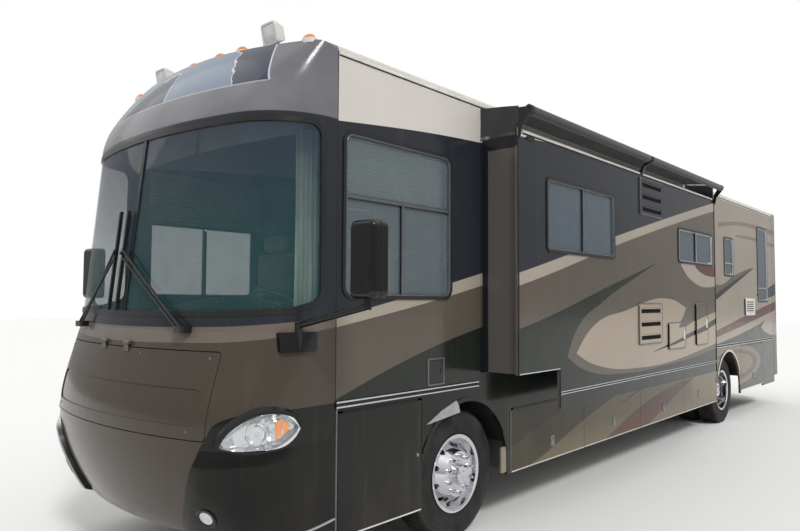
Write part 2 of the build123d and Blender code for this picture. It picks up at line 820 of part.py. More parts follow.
# Dashboard: it fills the nose under the windshield, and carries the steering column
steer_plane = Plane(
    origin=(steer_x, aft(steer_y), steer_z), x_dir=(1, 0, 0),
    z_dir=(0, math.sin(math.radians(steer_tilt)), math.cos(math.radians(steer_tilt))),
)
boss_depth = 30
with BuildPart() as dashboard:
    low = (floor_top + seat_gap, -2275, 107, 500)
    high = (dash_top, -2200, 111, 500)
    loft([cap_section(low, skin + 45, dash_back), cap_section(high, skin + 45, dash_back)],
         ruled=True)
    slab(-body_half + 130, body_half - 130, dash_back - 350, dash_back + 10, 0, dash_top - 330,
         mode=Mode.SUBTRACT)
    slab(steer_x - 250, steer_x + 250, dash_back - 40, dash_back + 90, dash_top - 120,
         dash_top + 40)
    with BuildSketch(steer_plane.offset(-boss_depth - seat_gap)) as column:
        Circle(45)
    extrude(column.sketch, amount=-180)

dashboard.part.label = "dashboard"
export_step(dashboard.part, "parts/dashboard.step")

# Steering wheel on its column's axis
with BuildPart() as steering_wheel:
    with BuildSketch(Plane(steer_plane.origin + steer_plane.x_dir * steer_radius,
                           x_dir=steer_plane.x_dir, z_dir=-steer_plane.y_dir)) as rim_section:
        Circle(15)
    revolve(rim_section.sketch, axis=Axis(steer_plane.origin, steer_plane.z_dir))
    with BuildSketch(steer_plane.offset(-boss_depth)) as boss:
        Circle(60)
    extrude(boss.sketch, amount=boss_depth + 10)
    with BuildSketch(steer_plane.offset(-8)) as spokes:
        with PolarLocations(0, 3, start_angle=90):
            with Locations((steer_radius / 2, 0)):
                Rectangle(steer_radius - 10, 36)
    extrude(spokes.sketch, amount=12)

steering_wheel.part.label = "steering_wheel"
export_step(steering_wheel.part, "parts/steering_wheel.step")


def front_outline(station, x0, x1, z0, z1, radius):
    """Rounded rectangle seen from the front, at one station."""
    with BuildSketch(Plane.XZ.offset(-aft(station))) as outline:
        with Locations(((x0 + x1) / 2, (z0 + z1) / 2)):
            RectangleRounded(x1 - x0, z1 - z0, radius)
    return outline.sketch


# Cab seats: pedestal, cushion, back, head rest and arms
with BuildPart() as front_seats:
    for x in seat_places:
        slab(x - 180, x + 180, seat_y - 180, seat_y + 180, floor_top + seat_gap, 1570)
        extrude(side_outline(x - 260, seat_y - 300, seat_y + 250, 1560, seat_top, 70), amount=520)
        extrude(front_outline(seat_y + 130, x - 260, x + 260, seat_top - 60, 2330, 90),
                amount=-140)
        extrude(front_outline(seat_y + 140, x - 150, x + 150, 2300, 2480, 60), amount=-110)
        for side in (-1, 1):
            mid = x + side * 300
            extrude(side_outline(mid - 40, seat_y - 200, seat_y + 200, 1850, 1920, 34), amount=80)
            inner, outer = sorted((x + side * 250, mid))
            slab(inner, outer, seat_y + 140, seat_y + 190, 1850, 1920)

front_seats.part.label = "front_seats"
export_step(front_seats.part, "parts/front_seats.step")

# Chassis: two deep rails, cross members and the bearers under the floor
with BuildPart() as chassis_frame:
    for side in (-1, 1):
        mid = side * rail_mid
        slab(mid - rail_half, mid + rail_half, -1950, hanger_station + 150, rail_bottom, rail_top)
    for y in cross_member_stations:
        slab(-rail_mid, rail_mid, y - 40, y + 40, rail_bottom + 40, rail_top - 20)
    for y in bearer_stations:
        slab(-body_half + wall + 20, body_half - wall - 20, y - 40, y + 40, rail_top,
             floor_top - floor_thickness - seat_gap)
    for y in outrigger_stations:
        for side in (-1, 1):
            inner, outer = sorted((side * rail_mid, side * (body_half - skirt_wall - seat_gap)))
            slab(inner, outer, y - 40, y + 40, rail_top, belt_bottom - 20)

chassis_frame.part.label = "chassis_frame"
export_step(chassis_frame.part, "parts/chassis_frame.step")

# Tow receiver: a square socket with a hole for its pin, hung by two plates from the frame's
# last cross member
with BuildPart() as tow_receiver:
    tube_half = hitch_half + hitch_wall
    slab(-tube_half, tube_half, hitch_front, hitch_rear, hitch_z - tube_half, hitch_z + tube_half)
    for side in (-1, 1):
        inner, outer = sorted((side * tube_half, side * (tube_half + hanger_wall)))
        slab(inner, outer, hanger_station - 60, hanger_station + 60, hitch_z - tube_half,
             rail_bottom + 40 - seat_gap)
    slab(-hitch_half, hitch_half, hitch_front - 10, hitch_rear + 10, hitch_z - hitch_half,
         hitch_z + hitch_half, mode=Mode.SUBTRACT)
    bar_along("x", hitch_pin_radius, (-tube_half - 10, hitch_pin_station, hitch_z),
              2 * tube_half + 20, mode=Mode.SUBTRACT)

tow_receiver.part.label = "tow_receiver"
export_step(tow_receiver.part, "parts/tow_receiver.step")

# Basement: the tray under the baggage bays and its bulkheads
with BuildPart() as basement:
    tray_half = body_half - wall
    slab(-tray_half, tray_half, bay_front, bay_rear, tray_bottom, tray_bottom + 30)
    for y in bulkhead_stations:
        slab(-tray_half, tray_half, y - 12, y + 12, tray_bottom + 30, rail_bottom - seat_gap)
        for side in (-1, 1):
            inner, outer = sorted((side * (rail_mid + rail_half + seat_gap), side * tray_half))
            slab(inner, outer, y - 12, y + 12, rail_bottom - 10, rail_top - seat_gap)
    slab(-body_half, -body_half + steps_depth + 20, entry_front - 40, entry_rear + 40,
         0, 1300, mode=Mode.SUBTRACT)

basement.part.label = "basement"
export_step(basement.part, "parts/basement.step")

with BuildPart() as engine_block:
    engine_half = rail_mid - rail_half - seat_gap
    slab(-engine_half, engine_half, engine_front, engine_rear, 560, rail_top - 5)

engine_block.part.label = "engine_block"
export_step(engine_block.part, "parts/engine_block.step")

# Arch liners: a half tube over each wheel, closed on its inner side
with BuildPart() as arch_liners:
    for station, radius, ahead, behind in arches:
        inner_x = liner_inner if station == 0 else twin_liner_inner
        for side in (-1, 1):
            start, end = sorted((side * inner_x, side * (body_half - skirt_wall - seat_gap)))
            bar_along("x", radius + 10, (start, station, axle_height), end - start)
            bore_start = start + 6 if side > 0 else start - 10
            bar_along("x", radius, (bore_start, station, axle_height), end - start + 4,
                      mode=Mode.SUBTRACT)
        slab(-body_half - 20, body_half + 20, station - 700, station + 700, -200,
             axle_height + 180,
             mode=Mode.SUBTRACT)

arch_liners.part.label = "arch_liners"
export_step(arch_liners.part, "parts/arch_liners.step")

# Axles: the front beam dropped between its kingpin eyes, the rear housing and its drive shaft,
# and the air springs under the rails
with BuildPart() as axles:
    slab(-700, 700, -45, 45, 400, 500)
    for side in (-1, 1):
        inner, outer = sorted((side * 690, side * (kingpin_x - 70)))
        slab(inner, outer, -45, 45, 400, axle_height + 50)
        inner, outer = sorted((side * (kingpin_x - 80), side * (kingpin_x - 30)))
        slab(inner, outer, -45, 45, axle_height - 50, axle_height + 50)
        bar_along("z", 45, (side * kingpin_x, 0, axle_height - 55), 110)
        bar_along("z", kingpin_radius + seat_gap, (side * kingpin_x, 0, axle_height - 60), 120,
                  mode=Mode.SUBTRACT)
        bar_along("z", 110, (side * rail_mid, 0, 500), rail_bottom - seat_gap - 500)
    bar_along("x", 75, (-wheel_mid + 490, rear_axle, axle_height), 2 * wheel_mid - 980)
    bar_along("x", spindle_radius, (-wheel_mid + 90, rear_axle, axle_height), 2 * wheel_mid - 180)
    bar_along("y", 210, (0, rear_axle - 120, axle_height), 240)
    for side in (-1, 1):
        bar_along("z", 85, (side * rail_mid, rear_axle, axle_height + 40),
                  rail_bottom - seat_gap - axle_height - 40)
    bar_along("y", 45, (0, rear_axle + 100, 640), engine_front - seat_gap - rear_axle - 100)

axles.part.label = "axles"
export_step(axles.part, "parts/axles.step")


def wheel_axis(station):
    """Axis through both wheels at a station."""
    return Axis((0, aft(station), axle_height), (1, 0, 0))


def turned(station, points):
    """Ring turned about a wheel axis from (x, radius) corners."""
    plane = Plane(origin=(0, aft(station), axle_height), x_dir=(1, 0, 0), z_dir=(0, -1, 0))
    with BuildSketch(plane) as profile:
        with BuildLine():
            Polyline(points, close=True)
        make_face()
    return revolve(profile.sketch, axis=wheel_axis(station))


def tyre_ring(station, middle):
    """One tyre about a wheel axis: bead, bellied sidewalls, shoulders and flat tread."""
    plane = Plane(origin=(0, aft(station), axle_height), x_dir=(1, 0, 0), z_dir=(0, -1, 0))
    # Columns: distance from the tyre's middle, radius; the other half mirrors it
    half_profile = [
        (tyre_half - 30, bead_radius), (tyre_half - 30, bead_radius + bead_height),
        (tyre_half - 8, bead_radius + 50), (tyre_half, bead_radius + 100),
        (tyre_half - 3, tyre_radius - 62), (tyre_half - 14, tyre_radius - 20),
        (tyre_half - 32, tyre_radius),
    ]
    with BuildSketch(plane) as profile:
        with BuildLine():
            Polyline(
                [(middle + half, radius) for half, radius in half_profile]
                + [(middle - half, radius) for half, radius in reversed(half_profile)],
                close=True,
            )
        make_face()
    return revolve(profile.sketch, axis=wheel_axis(station))


def rim_barrel(station, middle):
    """The rim that carries one tyre."""
    b = rim_half
    r = bead_radius - gap
    turned(station, [
        (middle - b - 9, r + 15), (middle - b, r + 15), (middle - b, r), (middle + b, r),
        (middle + b, r + 15), (middle + b + 9, r + 15), (middle + b + 9, r - 12),
        (middle - b - 9, r - 12),
    ])


def wheel_disc(station, side, middle, face):
    """Dished disc from the rim to the bolting face, out by side times face from the middle."""
    r = bead_radius - gap - 8
    start = middle + side * (face - 105)
    plane_x = middle + side * face
    turned(station, [
        (start, r), (start - side * 25, r), (start - side * 10, r - 60),
        (plane_x - side * 22, 190), (plane_x - side * 22, 60), (plane_x, 60),
        (plane_x, 175), (start + side * 12, r - 40),
    ])


def hand_holes(station, middle, reach):
    """Round holes through a wheel's disc, in a ring about its axis."""
    plane = Plane(origin=(middle - reach, aft(station), axle_height), z_dir=(1, 0, 0))
    with BuildSketch(plane) as ring:
        with PolarLocations(hand_hole_circle, hand_hole_count):
            Circle(hand_hole_radius)
    extrude(ring.sketch, amount=2 * reach, mode=Mode.SUBTRACT)


for side, name in ((1, "left"), (-1, "right")):
    with BuildPart() as front_rim:
        middle = side * wheel_mid
        rim_barrel(0, middle)
        wheel_disc(0, side, middle, 150)
        hand_holes(0, middle, 200)
        turned(0, [
            (side * hub_inner, spindle_radius + seat_gap), (side * hub_inner, 80),
            (side * (wheel_mid + 135), 80), (side * (wheel_mid + 135), 110),
            (side * (wheel_mid + 152), 110), (side * (wheel_mid + 152), 82),
            (side * (wheel_mid + 195), 74), (side * (wheel_mid + 205), 60),
            (side * (wheel_mid + 205), 0), (side * spindle_end, 0),
            (side * spindle_end, spindle_radius + seat_gap),
        ])
    front_rim.part.label = f"front_rim_{name}"
    export_step(front_rim.part, f"parts/front_rim_{name}.step")

    with BuildPart() as front_tyre:
        tyre_ring(0, middle)
    front_tyre.part.label = f"front_tyre_{name}"
    export_step(front_tyre.part, f"parts/front_tyre_{name}.step")

    with BuildPart() as knuckle:
        bar_along("z", kingpin_radius, (side * kingpin_x, 0, axle_height - 90), 180)
        for z in (axle_height - 90, axle_height + 62):
            bar_along("z", 42, (side * kingpin_x, 0, z), 28)
            inner, outer = sorted((side * kingpin_x, side * (kingpin_x + 70)))
            slab(inner, outer, -42, 42, z, z + 28)
        inner, outer = sorted((side * (kingpin_x + 50), side * (hub_inner - 4)))
        slab(inner, outer, -42, 42, axle_height - 90, axle_height + 90)
        bar_along("x", spindle_radius, (side * (kingpin_x + 50), 0, axle_height),
                  side * (spindle_end - 3 - kingpin_x - 50))
    knuckle.part.label = f"knuckle_{name}"
    export_step(knuckle.part, f"parts/knuckle_{name}.step")

    with BuildPart() as rear_rims:
        for middle, turn_side in ((side * wheel_mid, -side), (side * (wheel_mid - twin_spacing), side)):
            rim_barrel(rear_axle, middle)
            wheel_disc(rear_axle, turn_side, middle, twin_spacing / 2)
        hand_holes(rear_axle, side * (wheel_mid - twin_spacing / 2), 200)
        hub_start, hub_end = wheel_mid - 450, wheel_mid + 70
        bolting, bore_end = wheel_mid - twin_spacing / 2, wheel_mid - 80
        turned(rear_axle, [
            (side * hub_start, spindle_radius + seat_gap), (side * hub_start, 100),
            (side * bolting, 100), (side * bolting, 110), (side * (hub_end - 10), 110),
            (side * hub_end, 100), (side * hub_end, 0), (side * bore_end, 0),
            (side * bore_end, spindle_radius + seat_gap),
        ])
    rear_rims.part.label = f"rear_rims_{name}"
    export_step(rear_rims.part, f"parts/rear_rims_{name}.step")

    with BuildPart() as rear_tyres:
        tyre_ring(rear_axle, side * wheel_mid)
        tyre_ring(rear_axle, side * (wheel_mid - twin_spacing))
    rear_tyres.part.label = f"rear_tyres_{name}"
    export_step(rear_tyres.part, f"parts/rear_tyres_{name}.step")

# Slide-out room: an open-backed box behind a broader face with a skirt
with BuildPart() as slide_room:
    outer_x = body_half + slide_out
    slab(slide_inner_x, outer_x - fascia, slide_front, slide_rear, slide_bottom, slide_top)
    slab(slide_inner_x - 10, outer_x - wall, slide_front + 40, slide_rear - 40,
         slide_bottom + 40, slide_top - 40, mode=Mode.SUBTRACT)
    face = [
        (slide_front - fascia_lap, slide_bottom - 5), (slide_notch, slide_bottom - 5),
        (slide_notch, slide_skirt_bottom), (slide_rear + fascia_lap, slide_skirt_bottom),
        (slide_rear + fascia_lap, slide_top + 45), (slide_front - fascia_lap, slide_top + 45),
    ]
    extrude(side_shape(outer_x - fascia, face), amount=fascia)
    window_holes(slide_windows, 1, outer_x, wall)

slide_room.part.label = "slide_room"
export_step(slide_room.part, "parts/slide_room.step")

with BuildPart() as slide_frames:
    for row in slide_windows:
        add(frame_solid(row, outer_x, wall))

slide_frames.part.label = "slide_frames"
export_step(slide_frames.part, "parts/slide_frames.step")

with BuildPart() as slide_glass:
    for row in slide_windows:
        add(pane_solids(row, outer_x))

slide_glass.part.label = "slide_glass"
export_step(slide_glass.part, "parts/slide_glass.step")

# Vents and service hatches on the slide-out's face.
# Columns: front and rear stations, bottom, top, number of louvre slots
slide_panels = [
    (2578, 3190, slide_top - 400, slide_top - 12, 3),
    (2512, 3139, 1430, 1850, 3),
    (3350, 3874, 1337, 1631, 0),
    (4271, 4696, 1345, 1850, 0),
]
with BuildPart() as slide_vents:
    for y0, y1, z0, z1, slots in slide_panels:
        plate = side_outline(outer_x + seat_gap, y0, y1, z0, z1, 25)
        extrude(plate, amount=14)
        for n in range(slots):
            z = z0 + (n + 0.5) * (z1 - z0) / slots
            slab(outer_x + 6, outer_x + 30, y0 + 45, y1 - 45, z - 30, z + 30, mode=Mode.SUBTRACT)

slide_vents.part.label = "slide_vents"
export_step(slide_vents.part, "parts/slide_vents.step")

# Awning roller over the slide-out, its end brackets, and the cloth up to the coach's roof edge
roller_x = outer_x + roller_out
with BuildPart() as topper_roller:
    bar_along("y", roller_radius, (roller_x, slide_front - 10, roller_z),
              slide_rear - slide_front + 20)
    for y in (slide_front - fascia_lap, slide_rear + fascia_lap - 30):
        slab(outer_x + seat_gap, roller_x + 40, y, y + 30, slide_top - 40, roller_z + 50)
    slide_mid = (slide_front + slide_rear) / 2
    slab(outer_x + seat_gap, roller_x - 20, slide_mid - 25, slide_mid + 25,
         slide_top + 5, roller_z - 10)

topper_roller.part.label = "topper_roller"
export_step(topper_roller.part, "parts/topper_roller.step")

with BuildPart() as topper_fabric:
    with BuildSketch(Plane.XZ.offset(-aft(slide_front + 30))) as cloth:
        with BuildLine():
            Polyline(
                (body_half + seat_gap, cloth_rail_z), (body_half + seat_gap, cloth_rail_z - 8),
                (roller_x, roller_z + roller_radius + 1), (roller_x, roller_z + roller_radius + 5),
                close=True,
            )
        make_face()
    extrude(cloth.sketch, amount=-(slide_rear - slide_front - 60))

topper_fabric.part.label = "topper_fabric"
export_step(topper_fabric.part, "parts/topper_fabric.step")

# Mirrors: a pad that follows the cap's corner, a bent arm and an upright rounded head, with
# two pockets for its glasses on the side that faces the driver
mirror_low = (mirror_bottom + 14, mirror_split - 7)
mirror_high = (mirror_split + 7, mirror_top - 14)
with BuildPart() as mirrors:
    add(nose_shell(-mirror_pad_proud, 2))
    with BuildSketch(Plane.YZ.offset(-body_half - 200)) as pads:
        with Locations((aft(mirror_base[1]), (mirror_pad_bottom + mirror_pad_top) / 2)):
            RectangleRounded(2 * mirror_pad_half, mirror_pad_top - mirror_pad_bottom, 14)
    extrude(pads.sketch, amount=2 * body_half + 400, mode=Mode.INTERSECT)
    for side in (-1, 1):
        front = mirror_y - mirror_depth / 2
        left, right = side * mirror_x - mirror_half, side * mirror_x + mirror_half
        with BuildPart(mode=Mode.PRIVATE) as mirror_head:
            extrude(front_outline(front, left, right, mirror_bottom, mirror_top, mirror_round),
                    amount=-mirror_depth)
            fillet(mirror_head.faces().sort_by(Axis.Y)[0].edges(), 30)
            for low, high in (mirror_low, mirror_high):
                extrude(front_outline(front + mirror_depth, left + 14, right - 14, low, high, 25),
                        amount=mirror_pocket, mode=Mode.SUBTRACT)
        add(mirror_head.part)
        bar_along("z", 22, (side * mirror_x, mirror_y, mirror_bottom - 60), 80)
        start = (side * mirror_base[0], aft(mirror_base[1]), mirror_base[2])
        end = (side * mirror_x, aft(mirror_y), mirror_bottom - 40)
        arm_line = Line(start, end)
        with BuildSketch(Plane(origin=start, z_dir=arm_line.tangent_at(0))) as arm_section:
            Circle(20)
        extrude(arm_section.sketch, amount=arm_line.length)
        bar_along("z", 22, (side * mirror_base[0], mirror_base[1], mirror_pad_bottom + 20),
                  mirror_base[2] - mirror_pad_bottom)
    add(cap_outer, mode=Mode.SUBTRACT)

mirrors.part.label = "mirrors"
export_step(mirrors.part, "parts/mirrors.step")


def screen_station(z):
    """Station of the windshield's middle at a height."""
    low, high = screen_levels
    return low[1] + (z - low[0]) * (high[1] - low[1]) / (high[0] - low[0])


# Wipers: two parallel bars from each pivot to an upright blade beside the centre bar
with BuildPart() as wipers:
    for side, blade_x in blade_places:
        near, far = blade_stand, blade_stand + blade_depth
        blade = [
            (screen_station(blade_bottom) - far, blade_bottom),
            (screen_station(blade_bottom) - near, blade_bottom),
            (screen_station(blade_top) - near, blade_top),
            (screen_station(blade_top) - far, blade_top),
        ]
        extrude(side_shape(blade_x - 9, blade), amount=18)
        joint_y = aft(screen_station(blade_joint) - far)
        for shift in (-25, 25):
            start = (side * wiper_pivot + shift, aft(-2180), wiper_foot)
            end = (blade_x, joint_y, blade_joint + shift)
            arm_line = Line(start, end)
            with BuildSketch(Plane(origin=start, z_dir=arm_line.tangent_at(0))) as wiper_section:
                Circle(8)
            extrude(wiper_section.sketch, amount=arm_line.length)
        bar_along("y", 12, (blade_x, screen_station(blade_joint) - far - 14, blade_joint), 20)
        mid = side * wiper_pivot
        extrude(plan_outline(wiper_foot - 20, mid - 50, mid + 50, -2200, -2120, 18), amount=40)
    add(cap_outer, mode=Mode.SUBTRACT)

wipers.part.label = "wipers"
export_step(wipers.part, "parts/wipers.step")


def roof_height(x):
    """Height of the roof's surface at a distance from the middle."""
    turn = math.radians(shoulder_turn)
    rim_x = body_half - shoulder_radius * (1 - math.cos(turn))
    rim_z = roof_edge + shoulder_radius * math.sin(turn)
    fall = (roof_crown - rim_z) / (rim_x - roof_flat_half)
    return roof_crown - fall * max(0, abs(x) - roof_flat_half)


# Clearance lamps on the brow's top edge
with BuildPart() as marker_lamps:
    for x, y in clearance_lamps:
        base = roof_height(x) - 30
        lamp = plan_outline(base, x - 52, x + 52, y - 36, y + 36, 30)
        extrude(lamp, amount=roof_height(x) + 40 - base, taper=12)
    add(cap_outer, mode=Mode.SUBTRACT)

marker_lamps.part.label = "marker_lamps"
export_step(marker_lamps.part, "parts/marker_lamps.step")

# Docking lights: two buckets on short feet, tipped a little down
with BuildPart() as docking_lights:
    for side in (-1, 1):
        tip = math.radians(docking_tip)
        bucket_plane = Plane(
            origin=(side * docking_x, aft(docking_station), docking_z),
            x_dir=(1, 0, 0), z_dir=(0, math.cos(tip), math.sin(tip)),
        )
        with BuildSketch(bucket_plane) as bezel:
            RectangleRounded(2 * docking_half, 2 * docking_half, 24)
        extrude(bezel.sketch, amount=30)
        with BuildSketch(bucket_plane.offset(30)) as bucket:
            RectangleRounded(2 * docking_half - 8, 2 * docking_half - 8, 22)
        extrude(bucket.sketch, amount=70, taper=22)
        with BuildSketch(bucket_plane) as dish:
            RectangleRounded(2 * docking_half - 28, 2 * docking_half - 28, 16)
        extrude(dish.sketch, amount=8, mode=Mode.SUBTRACT)
        bar_along("z", 18, (side * docking_x, docking_station + 60, roof_crown - 60),
                  docking_z - roof_crown + 40)
        bar_along("z", 40, (side * docking_x, docking_station + 60, roof_crown - 60),
                  68 - (roof_crown - roof_height(docking_x)))
    add(cap_outer, mode=Mode.SUBTRACT)

docking_lights.part.label = "docking_lights"
export_step(docking_lights.part, "parts/docking_lights.step")

# Roof air conditioners
with BuildPart() as roof_units:
    for y in (2000, 7200):
        with BuildSketch(Plane.XY.offset(roof_crown + seat_gap)) as base:
            with Locations((0, aft(y))):
                RectangleRounded(700, 1050, 90)
        extrude(base.sketch, amount=230, taper=8)

roof_units.part.label = "roof_units"
export_step(roof_units.part, "parts/roof_units.step")
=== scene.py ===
"""Looks of the motorhome: paint, glass, rubber and metal finishes, soft goods, trim and light."""

import cmath
import math

import bmesh
import bpy
from mathutils import Matrix, Vector
from mathutils.bvhtree import BVHTree


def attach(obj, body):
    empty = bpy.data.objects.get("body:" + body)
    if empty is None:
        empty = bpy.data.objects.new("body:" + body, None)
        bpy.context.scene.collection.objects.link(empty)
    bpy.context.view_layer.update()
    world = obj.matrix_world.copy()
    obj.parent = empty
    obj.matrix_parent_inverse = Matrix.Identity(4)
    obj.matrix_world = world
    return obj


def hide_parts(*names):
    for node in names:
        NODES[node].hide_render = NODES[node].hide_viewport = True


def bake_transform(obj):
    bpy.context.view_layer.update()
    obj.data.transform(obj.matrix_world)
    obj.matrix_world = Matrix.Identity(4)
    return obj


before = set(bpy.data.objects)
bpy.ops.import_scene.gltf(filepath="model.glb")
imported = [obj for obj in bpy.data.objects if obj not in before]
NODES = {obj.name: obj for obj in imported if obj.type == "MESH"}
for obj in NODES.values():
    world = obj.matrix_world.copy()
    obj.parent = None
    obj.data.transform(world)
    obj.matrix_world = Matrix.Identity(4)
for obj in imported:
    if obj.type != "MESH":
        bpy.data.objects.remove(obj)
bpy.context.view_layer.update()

# Y of the front axle: stations are measured back from it, in metres
AXLE_Y = -3.885
BODY_HALF = 1.28
SLIDE_FACE = 1.65
FRONT_SEAM = -1.417
REAR_SEAM = 9.72
REAR_AXLE = 6.89
AXLE_HEIGHT = 0.5
SIDES = ((1, "left"), (-1, "right"))


def place(x, station, z):
    """Point of the frame from a station behind the front axle."""
    return Vector((x, AXLE_Y + station, z))


def rgb(red, green, blue):
    """Colour for a shader from three screen values between 0 and 255."""
    def linear(value):
        value = value / 255
        return value / 12.92 if value <= 0.04045 else ((value + 0.055) / 1.055) ** 2.4
    return (linear(red), linear(green), linear(blue), 1.0)


# Camera: the photograph's own standpoint, beside the nose on the driver's side
CAMERA_PLACE = (4.458, -8.269, 1.878)
CAMERA_YAW = 0.726
CAMERA_PITCH = 0.051
CAMERA_ROLL = 0.005
CAMERA_LENS = 30.36


def make_camera():
    data = bpy.data.cameras.new("camera")
    data.lens = CAMERA_LENS
    data.sensor_width = 36
    data.clip_end = 200
    camera = bpy.data.objects.new("camera", data)
    bpy.context.scene.collection.objects.link(camera)
    level = math.cos(CAMERA_PITCH)
    ahead = Vector((-math.sin(CAMERA_YAW) * level, math.cos(CAMERA_YAW) * level,
                    math.sin(CAMERA_PITCH)))
    right = ahead.cross(Vector((0, 0, 1))).normalized()
    up = right.cross(ahead)
    turn = Matrix.Rotation(-CAMERA_ROLL, 3, ahead)
    right, up = turn @ right, turn @ up
    camera.matrix_world = Matrix.Translation(CAMERA_PLACE) @ Matrix(
        (right, up, -ahead)).transposed().to_4x4()
    bpy.context.scene.camera = camera


# Greatest value that Graph.curve holds
CURVE_TOP = 4.0


class Graph:
    """Short forms for the nodes of one material or world."""

    def __init__(self, tree):
        self.tree = tree
        tree.nodes.clear()

    def feed(self, socket, value):
        if isinstance(value, bpy.types.NodeSocket):
            self.tree.links.new(value, socket)
        elif value is not None:
            socket.default_value = value

    def add(self, kind, settings=(), **inputs):
        node = self.tree.nodes.new("ShaderNode" + kind)
        for key, value in dict(settings).items():
            setattr(node, key, value)
        for key, value in inputs.items():
            self.feed(node.inputs[key.replace("_", " ")], value)
        return node

    def math(self, operation, *values, clamp=False):
        node = self.add("Math", {"operation": operation, "use_clamp": clamp})
        for socket, value in zip(node.inputs, values):
            self.feed(socket, value)
        return node.outputs[0]

    def minus(self, first, second):
        return self.math("SUBTRACT", first, second)

    def above(self, value, line, width=0.004):
        """0 where a value is under a line and 1 where it is over it, with a narrow edge between."""
        return self.math("MULTIPLY_ADD", self.minus(value, line), 1 / width, 0.5, clamp=True)

    def span(self, value, low, high, to_low=0.0, to_high=1.0):
        """A value between low and high, stretched onto another range and held at its ends."""
        return self.add("MapRange", Value=value, From_Min=low, From_Max=high,
                        To_Min=to_low, To_Max=to_high).outputs[0]

    def mix(self, factor, first, second):
        node = self.add("Mix", {"data_type": "RGBA"})
        for socket, value in zip((node.inputs[0], *node.inputs[6:8]), (factor, first, second)):
            self.feed(socket, value)
        return node.outputs[2]

    def axes(self):
        """X, station and height of the shaded point."""
        split = self.add("SeparateXYZ", Vector=self.add("TexCoord").outputs["Object"])
        return split.outputs[0], self.minus(split.outputs[1], AXLE_Y), split.outputs[2]

    def noise(self, scale, detail=3.0, stretch=(1, 1, 1)):
        """Cloudy factor from 0 to 1, drawn out along the axes by stretch."""
        where = self.add("Mapping", Vector=self.add("TexCoord").outputs["Object"],
                         Scale=stretch).outputs[0]
        return self.add("TexNoise", Vector=where, Scale=scale, Detail=detail).outputs[0]

    def curve(self, value, points):
        """Smooth line through a few (value, result) points."""
        start, end = points[0][0], points[-1][0]
        node = self.add("FloatCurve", Value=self.span(value, start, end))
        line = node.mapping.curves[0]
        ends = [((at - start) / (end - start), to / CURVE_TOP) for at, to in points]
        line.points[0].location = ends[0]
        line.points[1].location = ends[-1]
        for x, y in ends[1:-1]:
            line.points.new(x, y)
        node.mapping.update()
        return self.math("MULTIPLY", node.outputs[0], CURVE_TOP)

    def both(self, *masks):
        result = masks[0]
        for mask in masks[1:]:
            result = self.math("MULTIPLY", result, mask)
        return result

    def oval(self, y, z, centre, half, width=0.02):
        """Mask of an ellipse in the side view."""
        across = self.math("DIVIDE", self.minus(y, centre[0]), half[0])
        along = self.math("DIVIDE", self.minus(z, centre[1]), half[1])
        reach = self.math("ADD", self.math("POWER", across, 2.0), self.math("POWER", along, 2.0))
        return self.above(1.0, reach, width)

    def relief(self, strength, distance, height):
        return self.add("Bump", Strength=strength, Distance=distance, Height=height).outputs[0]

    def surface(self, **inputs):
        """Principled shader with these inputs, as the material's surface."""
        self.add("OutputMaterial", Surface=self.add("BsdfPrincipled", **inputs).outputs[0])


CREAM = rgb(206, 200, 194)
SILVER_TAUPE = rgb(122, 121, 127)
TAN = rgb(160, 150, 138)
BRONZE = rgb(88, 80, 72)
DARK_GREEN = rgb(30, 35, 29)
BLACK_GREEN = rgb(19, 19, 17)
ELLIPSE_TAN = rgb(158, 145, 128)
PALE_KHAKI = rgb(110, 100, 78)
MID_OLIVE = rgb(62, 56, 38)
DARK_OLIVE = rgb(44, 40, 27)
MAROON = rgb(88, 49, 39)
SAND = rgb(150, 141, 129)
REAR_GREEN = rgb(34, 42, 30)
CHARCOAL = rgb(38, 41, 48)
TAUPE = rgb(118, 110, 102)
NOSE_BRONZE = rgb(70, 62, 54)
NOSE_TAN = rgb(106, 97, 89)
NOSE_SLATE = rgb(38, 42, 49)
BROW_SHADE = rgb(100, 98, 102)
# Painted reflection of the sky on the brow above its crease
BROW_SKY_REFLECTION = rgb(112, 126, 142)
# Painted highlight along the brow's crease
CREASE_HIGHLIGHT = rgb(196, 198, 204)
PEEL_RIM = rgb(190, 192, 198)
PEELED = rgb(50, 56, 72)

# Station at which the sides' bronze gives way to sand
SAND_START = 5.07

